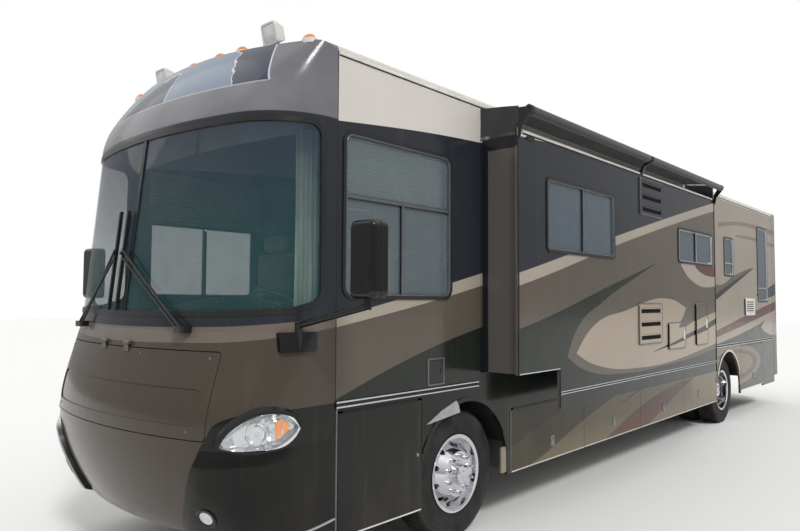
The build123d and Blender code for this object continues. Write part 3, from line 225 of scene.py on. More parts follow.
# Bands of the side above the trim line, laid over each other in this order.
# Columns: colour, upper edge, lower edge. An edge is a few (station, height) points, or None.
UPPER_BANDS = [
    (CREAM, None, [(-1.42, 3.04), (0.07, 3.175), (5.07, 3.30)]),
    (CHARCOAL, [(-1.42, 3.04), (0.07, 3.175), (5.07, 3.30)],
     [(-1.42, 1.76), (0.07, 2.07), (2.49, 2.63), (5.07, 3.19)]),
    (TAN, [(-1.42, 1.76), (0.07, 2.07), (2.49, 2.63), (5.07, 3.19)],
     [(-1.42, 1.70), (0.07, 1.97), (2.49, 2.54), (5.07, 3.08)]),
    (DARK_GREEN, [(-1.42, 1.24), (-0.5, 1.51), (0.71, 1.76), (1.9, 2.04), (3.1, 2.31)], None),
    (BRONZE, [(0.97, 1.40), (1.15, 1.63), (1.65, 1.86), (2.48, 2.13), (3.1, 2.31)],
     [(0.97, 1.39), (1.32, 1.25), (2.2, 1.16), (3.1, 1.165)]),
    (DARK_GREEN, [(3.1, 1.165), (4.17, 1.20), (5.07, 1.27)], None),
    (ELLIPSE_TAN, [(1.14, 1.42), (1.46, 1.64), (2.21, 1.785), (3.31, 1.91), (3.94, 1.80)],
     [(1.14, 1.41), (1.5, 1.29), (2.53, 1.19), (3.94, 1.23)]),
    (BRONZE, [(3.66, 1.60), (3.85, 1.71), (3.94, 1.80)], [(3.66, 1.57), (3.94, 1.58)]),
    (ELLIPSE_TAN, [(3.94, 1.58), (4.25, 1.64), (5.07, 1.74)], [(3.94, 1.23), (5.07, 1.33)]),
    (TAN, [(3.8, 2.34), (5.07, 2.34)], [(3.8, 2.30), (4.16, 2.13), (5.07, 2.08)]),
    (MAROON, [(4.3, 2.34), (5.07, 2.34)], [(4.3, 2.30), (4.5, 2.24), (5.07, 2.20)]),
    (BRONZE, [(5.07, 3.08), (5.6, 2.35), (6.46, 2.13), (7.3, 2.30), (8.3, 2.46)],
     [(5.07, 1.66), (6.46, 2.0), (8.3, 2.44)]),
    (BLACK_GREEN, [(2.91, 1.335), (4.0, 1.49), (5.14, 1.675), (6.46, 2.02), (8.46, 2.47)],
     [(2.91, 1.33), (4.0, 1.44), (5.13, 1.595), (6.45, 1.93), (8.46, 2.46)]),
    (MAROON, [(5.07, 1.29), (6.42, 1.453), (7.76, 1.627), (10.2, 1.92)],
     [(5.07, 1.22), (6.42, 1.35), (7.96, 1.509), (10.2, 1.76)]),
    (REAR_GREEN, [(6.2, 1.23), (8.16, 1.416), (10.2, 1.70)], None),
    (SAND, [(8.88, 1.43), (9.07, 1.514), (10.2, 1.645)], [(8.88, 1.42), (9.17, 1.325), (10.2, 1.26)]),
    (CHARCOAL, [(8.6, 2.0), (9.24, 2.105), (10.2, 2.286)], [(8.6, 1.99), (9.22, 1.948), (10.2, 2.053)]),
    (TAUPE, [(6.5, 3.08), (7.58, 3.19), (8.63, 3.225), (10.2, 3.22)],
     [(6.5, 3.01), (7.58, 3.128), (8.63, 3.142), (10.2, 3.12)]),
    (TAUPE, [(7.4, 2.96), (8.4, 2.99), (10.2, 2.95)], [(7.4, 2.93), (8.4, 2.94), (10.2, 2.90)]),
]

# Bands below the trim line, in the same columns
LOWER_BANDS = [
    (BLACK_GREEN, [(-1.42, 3.0), (0.6, 3.0)], None),
    (MID_OLIVE, None, [(0.6, 0.38), (0.88, 0.40), (2.02, 0.68), (2.75, 0.84), (3.6, 0.99)]),
    (DARK_OLIVE, None, [(0.6, 0.60), (1.5, 0.823), (2.3, 1.0)]),
    (DARK_OLIVE, [(2.9, 0.74), (3.45, 0.86)], [(2.9, 0.73), (3.45, 0.84)]),
    (MAROON, [(2.5, 0.41), (3.45, 0.646), (4.25, 0.772), (5.35, 0.833)],
     [(2.5, 0.40), (3.53, 0.40), (4.07, 0.514), (4.68, 0.687), (5.35, 0.83)]),
    (MAROON, [(5.3, 0.86), (6.5, 1.05)], [(5.3, 0.83), (6.5, 0.99)]),
    (REAR_GREEN, [(6.9, 3.0), (10.2, 3.0)], None),
]

# Height of the trim line that parts the two lists, from one station to the next
TRIM_STEPS = [(-3.0, 1.214), (0.169, 0.962), (5.07, 1.205), (11.0, 1.205)]

# Lobe round the rear wheel: colour, centre (station, height), half width and height
LOBE = [
    (PALE_KHAKI, (7.25, 0.86), (1.50, 0.325)),
    (MAROON, (7.17, 0.86), (1.36, 0.25)),
    (PALE_KHAKI, (7.15, 0.87), (1.12, 0.185)),
]
LOBE_END = 6.2
# Dark strip down the rear corner, as stations
CORNER_STRIP = (9.895, 9.935)
# End walls of the slide-out: how far out of the side they start and end, and their dark seal
END_WALL_REACH = (0.012, SLIDE_FACE - BODY_HALF - 0.003)
END_WALL_SEAL_WIDTH = 0.07
END_WALL_TOP = 3.10
END_WALL = rgb(92, 88, 84)
END_WALL_SEAL = rgb(26, 29, 36)


def lay_bands(g, colour, bands, station, height):
    """Paints a list of bands over a colour."""
    for paint, upper, lower in bands:
        known = upper or lower
        masks = [g.above(station, known[0][0]), g.above(known[-1][0], station)]
        if upper:
            masks.append(g.above(g.curve(station, upper), height))
        if lower:
            masks.append(g.above(height, g.curve(station, lower)))
        colour = g.mix(g.both(*masks), colour, paint)
    return colour


def side_livery(g):
    """Colours of both sides, the slide-out's face and the tail."""
    x, station, height = g.axes()
    upper = g.mix(g.above(station, SAND_START), BRONZE, SAND)
    upper = lay_bands(g, upper, UPPER_BANDS, station, height)
    lower = lay_bands(g, PALE_KHAKI, LOWER_BANDS, station, height)
    for paint, centre, half in LOBE:
        inside = g.both(g.oval(station, height, centre, half), g.above(station, LOBE_END))
        lower = g.mix(inside, lower, paint)
    trim = TRIM_STEPS[0][1]
    for start, line in TRIM_STEPS[1:]:
        trim = g.math("MULTIPLY_ADD", g.above(station, start), g.minus(line, trim), trim)
    side = g.mix(g.above(height, trim), lower, upper)
    corner = g.both(g.above(station, CORNER_STRIP[0]), g.above(CORNER_STRIP[1], station))
    side = g.mix(corner, side, BLACK_GREEN)
    outward = g.minus(x, BODY_HALF)
    end_wall = g.both(g.above(outward, END_WALL_REACH[0]), g.above(END_WALL_REACH[1], outward))
    panel = g.both(g.above(outward, END_WALL_SEAL_WIDTH), g.above(END_WALL_TOP, height))
    return g.mix(end_wall, side, g.mix(panel, END_WALL_SEAL, END_WALL))


# Nose: heights at which its colours change, as (station, height) points from the nose back
NOSE_BAND_LOW = [(-2.3, 1.685), (-1.72, 1.743), (-1.4, 1.765)]
NOSE_TAN_LOW = [(-2.3, 1.59), (-1.9, 1.64), (-1.4, 1.705)]
# Half width of the bronze nose at each height, outside which the corner pods are black
POD_EDGE = [(0.42, 0.64), (0.68, 0.80), (0.85, 0.894), (1.06, 1.0), (1.19, 1.115), (1.222, 1.25)]
BROW_BASE = 3.05
# Crease along the brow, above which the brow has a painted reflection of the sky and its clear coat has
# peeled in places
RIDGE = 3.256
# Places where the clear coat has come off: X of the left and of the right edge at the ridge and
# at the top, and the height of the top
PEELS = [((0.78, 0.60), (1.066, 0.90), 3.62), ((-0.69, -0.15), (0.09, 0.03), 3.52),
         ((-1.22, -1.15), (-1.10, -1.12), 3.44)]
# Unevenness of the peeled edges
PEEL_TEAR = 0.16


def nose_livery(g):
    """Colours of the nose, the windshield's surround and the brow, with a painted reflection of the sky
    over the brow's crease and a painted highlight along the crease.
    """
    x, station, height = g.axes()
    outside = g.above(g.math("ABSOLUTE", x), g.curve(height, POD_EDGE))
    colour = g.mix(g.both(outside, g.above(POD_EDGE[-1][0], height)), NOSE_BRONZE, BLACK_GREEN)
    for line, paint in ((NOSE_TAN_LOW, NOSE_TAN), (NOSE_BAND_LOW, NOSE_SLATE)):
        colour = g.mix(g.above(height, g.curve(station, line)), colour, paint)
    torn = g.math("MULTIPLY", g.minus(g.noise(9.0, 8.0), 0.5), PEEL_TEAR)
    over_ridge = g.above(height, RIDGE)
    skin = g.mix(g.span(g.noise(1.6, 3.0), 0.35, 0.7), SILVER_TAUPE, BROW_SHADE)
    _, last_edge, last_top = PEELS[0]
    # Painted reflection of the sky on the brow above its crease, up to the first peel's far edge
    sky_reflection = g.both(over_ridge, g.above(g.span(height, RIDGE, last_top, *last_edge), x))
    skin = g.mix(sky_reflection, skin, BROW_SKY_REFLECTION)
    for grow, paint in ((0.012, PEEL_RIM), (0.0, PEELED)):
        for left, right, top in PEELS:
            start = g.math("ADD", g.span(height, RIDGE, top, *left), torn)
            end = g.span(height, RIDGE, top, *right)
            mask = g.both(g.above(x, g.minus(start, grow)), g.above(end, g.minus(x, grow)),
                          over_ridge, g.above(g.math("ADD", torn, top + grow), height))
            skin = g.mix(mask, skin, paint)
    # Pale line along the crease: a painted highlight, laid at part strength
    crease = g.both(g.above(height, RIDGE - 0.006), g.above(RIDGE + 0.004, height),
                    g.above(last_edge[0] - 0.006, x))
    skin = g.mix(g.math("MULTIPLY", crease, 0.45), skin, CREASE_HIGHLIGHT)
    return g.mix(g.above(height, BROW_BASE), colour, skin)


def new_material(name):
    material = bpy.data.materials.new(name)
    material.use_nodes = True
    return material, Graph(material.node_tree)


DUST = rgb(150, 139, 120)
PAINT_SHADE = rgb(20, 20, 20)


def dusted(g, colour, amount):
    """Road dust, thicker low down and in faint streaks."""
    _, _, height = g.axes()
    low = g.span(height, 0.35, 1.1, 0.55, 0.05)
    cloud = g.span(g.noise(3.0, 6.0, (1, 1, 0.5)), 0.35, 0.75)
    streak = g.span(g.noise(14.0, 4.0, (1, 1, 0.06)), 0.56, 0.8, 0.0, 0.30)
    dust = g.math("MULTIPLY", g.math("ADD", g.math("MULTIPLY", low, cloud), streak), amount)
    return g.mix(dust, colour, DUST), dust


def paint_material(name, livery):
    """Clear-coated paint with a livery, faint waviness and dust."""
    material, g = new_material(name)
    tone = g.span(g.noise(0.9, 2.0), 0.3, 0.7, 0.0, 0.10)
    colour, dust = dusted(g, g.mix(tone, livery(g), PAINT_SHADE), 0.13)
    gloss = g.span(g.noise(6.0), 0.3, 0.7, 0.12, 0.22)
    wave = g.math("MULTIPLY_ADD", g.noise(1.7, 1.0), 6.0, g.noise(420.0, 1.0))
    g.surface(Base_Color=colour, Roughness=g.math("MULTIPLY_ADD", dust, 0.9, gloss),
              Normal=g.relief(0.05, 0.002, wave), Specular_IOR_Level=0.22, Coat_Weight=0.12,
              Coat_Roughness=0.04)
    return material


def plain_material(name, colour, rough, metal=0.0, grain=60.0, bump=0.15, depth=0.001,
                   uneven=0.25, dust=0.3, detail=5.0, stretch=(1, 1, 1), other=None, specular=0.4):
    """Finish of one colour, uneven in tone, gloss and height at the scale of its grain."""
    material, g = new_material(name)
    cloud = g.noise(grain, detail, stretch)
    broad = g.noise(max(grain / 12, 1.2), 3.0, stretch)
    dark = other or tuple(c * (1 - uneven) for c in colour[:3]) + (1.0,)
    patches = g.math("MULTIPLY_ADD", broad, 0.6, g.math("MULTIPLY", cloud, 0.4))
    tone, film = dusted(g, g.mix(g.span(patches, 0.35, 0.65), dark, colour), dust)
    gloss = g.span(cloud, 0.3, 0.7, rough * 0.85, rough * 1.15)
    g.surface(Base_Color=tone, Roughness=g.math("MULTIPLY_ADD", film, 0.5, gloss),
              Normal=g.relief(bump, depth, cloud), Metallic=metal, Specular_IOR_Level=specular)
    return material


GLASS_TINT = rgb(40, 84, 88)
SCREEN_TOP_TINT = rgb(22, 40, 66)
SIDE_TINT = rgb(112, 124, 130)
REAR_TINT = rgb(72, 84, 94)
# Heights between which the windshield's tint deepens
TINT_BAND = (2.2, 3.0)


def glass_material(name, clear, tinted, tint, split=None):
    """Glass that lets light through: clear and tinted are its two opacities, parted at a station."""
    material, g = new_material(name)
    _, station, height = g.axes()
    opacity = tinted
    if split is not None:
        side_pane = g.above(station, FRONT_SEAM)
        band = g.span(height, *TINT_BAND)
        opacity = g.span(station, split, split + 0.05, clear, tinted)
        opacity = g.math("MULTIPLY_ADD", g.both(band, g.minus(1.0, side_pane)), 0.16, opacity)
        opacity = g.math("MULTIPLY_ADD", g.both(side_pane, g.above(split, station)), 0.14, opacity)
        tint = g.mix(side_pane, g.mix(band, tint, SCREEN_TOP_TINT), SIDE_TINT)
        tint = g.mix(g.above(station, split), tint, REAR_TINT)
    film = g.math("MULTIPLY", g.span(g.noise(8.0, 6.0), 0.5, 0.8), 0.06)
    g.surface(Base_Color=g.mix(film, tint, DUST), Alpha=g.math("ADD", film, opacity),
              Roughness=g.span(g.noise(4.0, 5.0), 0.4, 0.7, 0.02, 0.09), Specular_IOR_Level=0.8)
    return material


def tyre_material(name, station):
    """Rubber with moulded rings on the sidewall and cross grooves in the tread."""
    material, g = new_material(name)
    _, here, height = g.axes()
    across, up = g.minus(here, station), g.minus(height, AXLE_HEIGHT)
    radius = g.math("SQRT", g.math("ADD", g.math("POWER", across, 2.0), g.math("POWER", up, 2.0)))
    rings = g.math("SINE", g.math("MULTIPLY", radius, 620.0))
    rings = g.both(g.span(rings, 0.6, 1.0), g.above(0.455, radius, 0.02))
    ribs = g.math("SINE", g.math("MULTIPLY", g.math("ARCTAN2", up, across), 150.0))
    ribs = g.both(g.span(ribs, 0.3, 0.8), g.above(radius, 0.478))
    fine = g.noise(180.0, 4.0)
    form = g.math("ADD", g.minus(rings, ribs), g.math("MULTIPLY", fine, 0.25))
    worn = g.both(g.span(radius, 0.30, 0.50, 0.1, 0.45), g.span(g.noise(7.0, 5.0), 0.3, 0.7))
    g.surface(Base_Color=g.mix(worn, rgb(30, 30, 31), rgb(88, 84, 78)),
              Normal=g.relief(0.5, 0.003, form), Roughness=g.span(fine, 0.3, 0.7, 0.62, 0.85),
              Specular_IOR_Level=0.3)
    return material


def cloth_material(name, colour, thread=900.0, sheen=0.3):
    """Woven cloth: crossed threads and soft sheen."""
    material, g = new_material(name)
    x, y, z = g.axes()
    warp = g.math("SINE", g.math("MULTIPLY", y, thread))
    weft = g.math("SINE", g.math("MULTIPLY", g.math("ADD", x, z), thread))
    weave = g.both(warp, weft)
    worn = g.math("MULTIPLY", g.span(g.noise(5.0, 5.0), 0.35, 0.7), 0.3)
    g.surface(Base_Color=g.mix(worn, colour, tuple(c * 0.6 for c in colour[:3]) + (1.0,)),
              Normal=g.relief(0.3, 0.0008, weave),
              Roughness=g.span(weave, -1.0, 1.0, 0.75, 0.95), Sheen_Weight=sheen)
    return material


# Finishes of one colour: colour, roughness, and what differs from plain_material's defaults
PLAIN = {
    "roof": (rgb(214, 211, 202), 0.55, dict(grain=40.0, dust=0.5)),
    "black_trim": (rgb(26, 27, 29), 0.32, dict(grain=140.0, dust=0.12)),
    "gloss_black": (rgb(16, 16, 18), 0.14, dict(grain=220.0, bump=0.03, dust=0.05)),
    "chassis": (rgb(40, 39, 38), 0.6, dict(grain=30.0, dust=0.9, bump=0.4, depth=0.003)),
    "engine": (rgb(74, 74, 74), 0.65, dict(metal=0.4, grain=90.0, dust=0.8, bump=0.6, depth=0.002)),
    "lining": (rgb(92, 92, 94), 0.7, dict(grain=120.0, dust=0.5)),
    "floor": (rgb(126, 96, 66), 0.45,
              dict(grain=18.0, dust=0.0, stretch=(6, 0.6, 1), other=rgb(88, 62, 40))),
    "dash": (rgb(92, 90, 90), 0.55, dict(grain=420.0, dust=0.0, bump=0.4)),
    "wood": (rgb(120, 76, 44), 0.35,
             dict(grain=16.0, dust=0.0, stretch=(5, 5, 0.35), other=rgb(72, 42, 24))),
    "leather": (rgb(150, 134, 114), 0.45, dict(grain=260.0, dust=0.0, bump=0.5, depth=0.0015)),
    "polished": (rgb(224, 224, 228), 0.10,
                 dict(metal=1.0, grain=70.0, bump=0.04, uneven=0.12, dust=0.12)),
    "bright": (rgb(206, 208, 212), 0.24,
               dict(metal=0.9, grain=110.0, bump=0.05, uneven=0.12, dust=0.25)),
    "white_trim": (rgb(226, 224, 218), 0.4, dict(grain=90.0, dust=0.4)),
    "frame_grey": (rgb(112, 115, 120), 0.3, dict(metal=0.6, grain=120.0, bump=0.05, dust=0.1)),
    # Near-black: the dark plates in the louvre and vent-box slots are painted shade of their openings;
    # also the strips beside the hatches and the vent box
    "black_and_slot_shade": (rgb(10, 10, 11), 0.7, dict(grain=90.0, dust=0.0, specular=0.1)),
    "pod_paint": (rgb(17, 17, 16), 0.14, dict(grain=120.0, bump=0.02, dust=0.10, specular=0.25)),
    "turn_amber": (rgb(252, 150, 20), 0.2, dict(grain=200.0, dust=0.0)),
    # Pale silver of the front arches' moulded lip, partly a painted highlight
    "silver_lip_and_highlight": (rgb(176, 176, 178), 0.34, dict(metal=0.5, grain=160.0, bump=0.06, dust=0.3)),
    "amber": (rgb(236, 132, 22), 0.2, dict(grain=300.0, dust=0.1)),
    "red": (rgb(170, 22, 18), 0.2, dict(grain=300.0, dust=0.2)),
    "reflector": (rgb(228, 230, 232), 0.12,
                  dict(metal=1.0, grain=80.0, bump=0.05, uneven=0.1, dust=0.0)),
    "latch": (rgb(150, 152, 156), 0.35, dict(metal=0.7, grain=120.0, bump=0.05, dust=0.4)),
    "lip_paint": (rgb(214, 209, 213), 0.35, dict(grain=30.0, bump=0.05, dust=0.6)),
    "khaki_paint": (rgb(148, 139, 120), 0.4, dict(grain=30.0, bump=0.05, dust=0.6)),
    "mirror": (rgb(196, 200, 206), 0.04,
               dict(metal=1.0, grain=20.0, bump=0.01, uneven=0.06, dust=0.08)),
    "lens_pale": (rgb(222, 224, 226), 0.18, dict(grain=240.0, bump=0.1, dust=0.1)),
    "hose": (rgb(24, 24, 25), 0.6, dict(grain=200.0, dust=0.3)),
}
M = {name: plain_material(name, colour, rough, **more)
     for name, (colour, rough, more) in PLAIN.items()}
M["side_paint"] = paint_material("side_paint", side_livery)
M["nose_paint"] = paint_material("nose_paint", nose_livery)
M["glass"] = glass_material("window_glass", 0.30, 0.90, GLASS_TINT, split=-0.1)
M["slide_glass"] = glass_material("slide_window_glass", 0.8, 0.92, REAR_TINT)
M["door_glass"] = glass_material("door_window_glass", 0.8, 0.80, rgb(16, 19, 21))
M["lens"] = glass_material("clear_lens", 0.2, 0.16, rgb(220, 224, 226))
M["front_rubber"] = tyre_material("front_tyre_rubber", 0.0)
M["rear_rubber"] = tyre_material("rear_tyre_rubber", REAR_AXLE)
M["awning"] = cloth_material("awning_cloth", rgb(34, 35, 38))
M["blind"] = cloth_material("blind_cloth", rgb(150, 160, 142), sheen=0.1)
M["curtain"] = cloth_material("curtain_cloth", rgb(206, 218, 204), sheen=0.1)

SIDE_DOORS = [name for name in NODES if name.endswith("_door") or "_bay_door_" in name]
NODE_MATERIALS = {
    "side_paint": ["left_wall", "right_wall", "rear_cap", "lower_skirts", "slide_room",
                   "slide_vents", *SIDE_DOORS],
    "nose_paint": ["front_cap", "nose_hatch"],
    "roof": ["roof_panel", "roof_units"],
    "glass": ["coach_glass"],
    "slide_glass": ["slide_glass"],
    "door_glass": ["entry_door_glass"],
    "lens": ["head_lamps"],
    "black_trim": ["window_frames", "slide_frames", "arch_liners", "topper_roller", "wipers"],
    "gloss_black": ["mirrors"],
    "chassis": ["chassis_frame", "axles", "tow_receiver", "knuckle_left", "knuckle_right"],
    "engine": ["engine_block"],
    "lining": ["basement", "entry_steps"],
    "floor": ["floor_panel"],
    "dash": ["dashboard", "steering_wheel"],
    "wood": ["cabin_partition"],
    "leather": ["front_seats"],
    "polished": ["front_rim_left", "front_rim_right", "rear_rims_left", "rear_rims_right"],
    "front_rubber": ["front_tyre_left", "front_tyre_right"],
    "rear_rubber": ["rear_tyres_left", "rear_tyres_right"],
    "amber": ["marker_lamps"],
    "white_trim": ["docking_lights"],
    "red": ["tail_lamps"],
    "awning": ["topper_fabric"],
}
for key, names in NODE_MATERIALS.items():
    for name in names:
        NODES[name].data.materials.clear()
        NODES[name].data.materials.append(M[key])


# Shapes of the added pieces
def ring(count):
    """Cosine and sine at equal steps round a circle."""
    return [(math.cos(a), math.sin(a)) for a in (2 * math.pi * n / count for n in range(count))]


def between(start, end, share):
    return start + (end - start) * share


class Pile:
    """Points and faces of the shapes that together make one piece."""

    def __init__(self):
        self.points = []
        self.faces = []

    def loft(self, loops, closed=False):
        """Skin through loops of as many points each; closed joins the last to the first."""
        base, count, rows = len(self.points), len(loops[0]), len(loops)
        for loop in loops:
            self.points += [tuple(point) for point in loop]
        for row in range(rows if closed else rows - 1):
            near, far = base + row * count, base + (row + 1) % rows * count
            for n in range(count):
                m = (n + 1) % count
                self.faces.append((near + n, near + m, far + m, far + n))
        if not closed:
            self.faces.append(tuple(range(base, base + count)))
            self.faces.append(tuple(range(base + (rows - 1) * count, base + rows * count)))

    def sheet(self, rows):
        """Open surface through rows of as many points each."""
        base, count = len(self.points), len(rows[0])
        for row in rows:
            self.points += [tuple(point) for point in row]
        for r in range(len(rows) - 1):
            for n in range(count - 1):
                a = base + r * count + n
                self.faces.append((a, a + 1, a + count + 1, a + count))

    def grid(self, at, rows, columns):
        """Open surface through at(down, along), two shares from 0 to 1. Returns its points."""
        points = [[at(m / rows, n / columns) for n in range(columns + 1)] for m in range(rows + 1)]
        self.sheet(points)
        return points

    def rings(self, rows, count, closed=False):
        """Skin through ellipses: rows of (centre, one half axis, the other half axis)."""
        self.loft([[centre + c * across + s * up for c, s in ring(count)]
                   for centre, across, up in rows], closed)

    def tube(self, path, radius, sides=10):
        """Round bar along a list of points."""
        rows = []
        for n, point in enumerate(path):
            ahead = (path[min(n + 1, len(path) - 1)] - path[max(n - 1, 0)]).normalized()
            across = ahead.cross(Vector((0, 0, 1)))
            if across.length < 0.1:
                across = ahead.cross(Vector((1, 0, 0)))
            across.normalize()
            rows.append((point, radius * across, radius * across.cross(ahead)))
        self.rings(rows, sides)

    def turned(self, side, centre, rows, steps, closed=True):
        """Form about an axis along X through a centre: rows of (distance outwards, radius)."""
        self.rings([(centre + Vector((side * out, 0, 0)), Vector((0, radius, 0)),
                     Vector((0, 0, radius))) for out, radius in rows], steps, closed)

    def disc(self, spot, normal, rows, sides=20):
        """Round fitting on a surface: rows of (height over the surface, radius)."""
        across = normal.cross(Vector((0, 0, 1))).normalized()
        up = across.cross(normal)
        self.rings([(spot + normal * height, radius * across, radius * up)
                    for height, radius in rows], sides)

    def outlines(self, at, rect, radius, section, closed=False, shrink=False):
        """Skin through rounded rectangles: rows of (inset, depth), set in space by at(u, v, depth)."""
        u0, u1, v0, v1 = rect
        loops = []
        for inset, depth in section:
            corner = max(radius - inset, 0.002) if shrink else radius
            outline = rounded(u0 + inset, u1 - inset, v0 + inset, v1 - inset, corner)
            loops.append([at(u, v, depth) for u, v in outline])
        self.loft(loops, closed)

    def side_section(self, side, rect, radius, section, closed=False):
        """Rounded rectangle in the side view, through (inset, distance from the middle) rows."""
        self.outlines(lambda y, z, x: place(side * x, y, z), rect, radius, section, closed, True)

    def end_section(self, rect, radius, section, closed=False):
        """Rounded rectangle seen from ahead or behind, through (inset, station) rows."""
        self.outlines(lambda x, z, y: place(x, y, z), rect, radius, section, closed)

    def block(self, side, x, rect, proud, bevel=0.0015, radius=0.0):
        """Raised plate on a side face at x, with bevelled edges."""
        self.side_section(side, rect, radius + bevel,
                          [(0, x), (0, x + proud - bevel), (bevel, x + proud)])

    def built(self, name, material, body="coach", sharp=35):
        """The finished piece, riding on a body. Faces that meet over sharp degrees keep an edge."""
        mesh = bpy.data.meshes.new(name)
        mesh.from_pydata(self.points, [], self.faces)
        work = bmesh.new()
        work.from_mesh(mesh)
        bmesh.ops.recalc_face_normals(work, faces=work.faces)
        work.to_mesh(mesh)
        work.free()
        mesh.shade_smooth()
        mesh.set_sharp_from_angle(angle=math.radians(sharp))
        mesh.materials.append(M[material])
        piece = bpy.data.objects.new(name, mesh)
        bpy.context.scene.collection.objects.link(piece)
        if body:
            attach(piece, body)
        return piece


def plates(name, material, side, rows, body="coach"):
    """Piece of raised plates: rows of (face, front, rear, bottom, top, proud, bevel)."""
    pile = Pile()
    for face, y0, y1, z0, z1, proud, bevel in rows:
        pile.block(side, face, (y0, y1, z0, z1), proud, bevel)
    pile.built(name, material, body)


def rounded(y0, y1, z0, z1, radius, steps=6):
    """Rectangle with round corners, as points of a plane."""
    points = []
    corners = ((y1 - radius, z1 - radius), (y0 + radius, z1 - radius),
               (y0 + radius, z0 + radius), (y1 - radius, z0 + radius))
    for quarter, (y, z) in enumerate(corners):
        for n in range(steps + 1):
            turn = math.pi / 2 * (quarter + n / steps)
            points.append((y + radius * math.cos(turn), z + radius * math.sin(turn)))
    return points


def tree_of(*names):
    """Search tree over the meshes of CAD nodes."""
    points, faces = [], []
    for name in names:
        mesh = NODES[name].data
        base = len(points)
        points += [vertex.co.copy() for vertex in mesh.vertices]
        faces += [[base + v for v in face.vertices] for face in mesh.polygons]
    return BVHTree.FromPolygons(points, faces)


AHEAD = Vector((0, -1, 0))
NOSE = tree_of("front_cap", "nose_hatch", "head_lamps")
FLANK = tree_of("front_cap", "head_lamps")


def struck(tree, start, way):
    """Where a ray meets a search tree, and the direction out of the surface there."""
    spot, normal, _, _ = tree.ray_cast(start, way)
    if spot is not None and normal.dot(way) > 0:
        normal = -normal
    return spot, normal


def on_flank(side, station, z):
    """Point and outward direction of the front cap or headlamp, met from its side."""
    for shift in (0, 0.004, -0.004, 0.008, -0.008, 0.012, -0.012):
        start = place(side * 3.0, station + abs(shift), z + shift)
        spot, normal = struck(FLANK, start, Vector((-side, 0, 0)))
        if spot is not None and spot.x * side > 0.6:
            return Vector((spot.x, AXLE_Y + station, z)), normal
    return place(side * BODY_HALF, station, z), Vector((side, 0, 0))


def off_flank(side, station, z, height):
    """Point at a height over the front cap's or headlamp's side, or under it where negative."""
    spot, normal = on_flank(side, station, z)
    return spot + normal * height


# Windows of both sides. Columns: name, body, side, front, rear, bottom, top, corner,
# height of a level bar, station of an upright bar, top of the upright bar.
WINDOWS = [
    ("cab_left", "coach", 1, -1.370, -0.200, 1.880, 3.000, 0.09, 2.56, -0.78, 2.56),
    ("mid_left", "coach", 1, 6.753, 7.233, 2.273, 2.890, 0.06, 2.48, None, None),
    ("rear_left", "coach", 1, 8.676, 9.341, 1.870, 3.208, 0.06, 2.12, None, None),
    ("cab_right", "coach", -1, -1.370, -0.200, 1.880, 3.000, 0.09, 2.56, -0.78, 2.56),
    ("living_right", "coach", -1, 2.5, 3.7, 2.25, 2.89, 0.06, None, 3.1, 2.89),
    ("kitchen_right", "coach", -1, 4.3, 5.0, 2.25, 2.89, 0.06, 2.45, None, None),
    ("bedroom_right", "coach", -1, 6.753, 7.953, 2.25, 2.89, 0.06, None, 7.353, 2.89),
    ("slide_front", "slide_out", 1, 0.612, 1.951, 2.283, 2.922, 0.06, None, 1.282, 2.922),
    ("slide_rear", "slide_out", 1, 3.690, 4.950, 2.330, 2.755, 0.06, None, 4.320, 2.755),
    ("entry", "entry_door", -1, 0.9, 1.4, 1.7, 2.7, 0.07, None, None, None),
]
DARK_WINDOWS = ("cab_left", "cab_right", "slide_front", "entry")
# Inner frame of a window: rows of (inset from the opening's edge, distance out of the face)
WINDOW_SECTION = [(0.026, 0.0088), (0.028, 0.0105), (0.034, 0.0105), (0.040, -0.004),
                  (0.040, -0.0115), (0.0305, -0.0115), (0.0305, 0.004)]
WINDOW_BAR_INSET = 0.038
WINDOW_BAR_HALF = 0.011


def window_trim():
    """Bright inner frame and bar faces of each window."""
    for name, body, side, y0, y1, z0, z1, corner, level, upright, top in WINDOWS:
        face = SLIDE_FACE if body == "slide_out" else BODY_HALF
        pile = Pile()
        section = [(inset, face + out) for inset, out in WINDOW_SECTION]
        pile.side_section(side, (y0, y1, z0, z1), corner, section, closed=True)
        if level:
            pile.block(side, face + 0.001, (y0 + WINDOW_BAR_INSET, y1 - WINDOW_BAR_INSET,
                                            level - WINDOW_BAR_HALF, level + WINDOW_BAR_HALF), 0.005)
        if upright:
            pile.block(side, face + 0.001, (upright - WINDOW_BAR_HALF, upright + WINDOW_BAR_HALF,
                                            z0 + WINDOW_BAR_INSET,
                                            top - (WINDOW_BAR_INSET if top == z1 else 0)), 0.005)
        pile.built(f"window_trim_{name}", "frame_grey" if name in DARK_WINDOWS else "bright", body)


RAIL_FACE = BODY_HALF + 0.010
BELT_SPANS = {1: [(-1.417, 0.148), (5.092, 9.716)], -1: [(-1.417, 0.758), (1.542, 9.716)]}
BELT_BEADS = (1.1905, 1.2225)


def belt_trim():
    """Two bright beads along the belt rail of each side, with a dark groove between them."""
    for side, label in SIDES:
        plates(f"belt_beads_{label}", "bright", side,
               [(RAIL_FACE, *span, z - 0.0055, z + 0.0055, 0.006, 0.002)
                for span in BELT_SPANS[side] for z in BELT_BEADS])
        plates(f"belt_groove_{label}", "hose", side,
               [(RAIL_FACE, *span, 1.198, 1.215, 0.0008, 0.0003) for span in BELT_SPANS[side]])


ROOF_SPAN = (-1.41, 9.71)
# Seams of the caps: station and lower end
CAP_SEAMS = ((FRONT_SEAM, 0.44), (REAR_SEAM, 0.53))


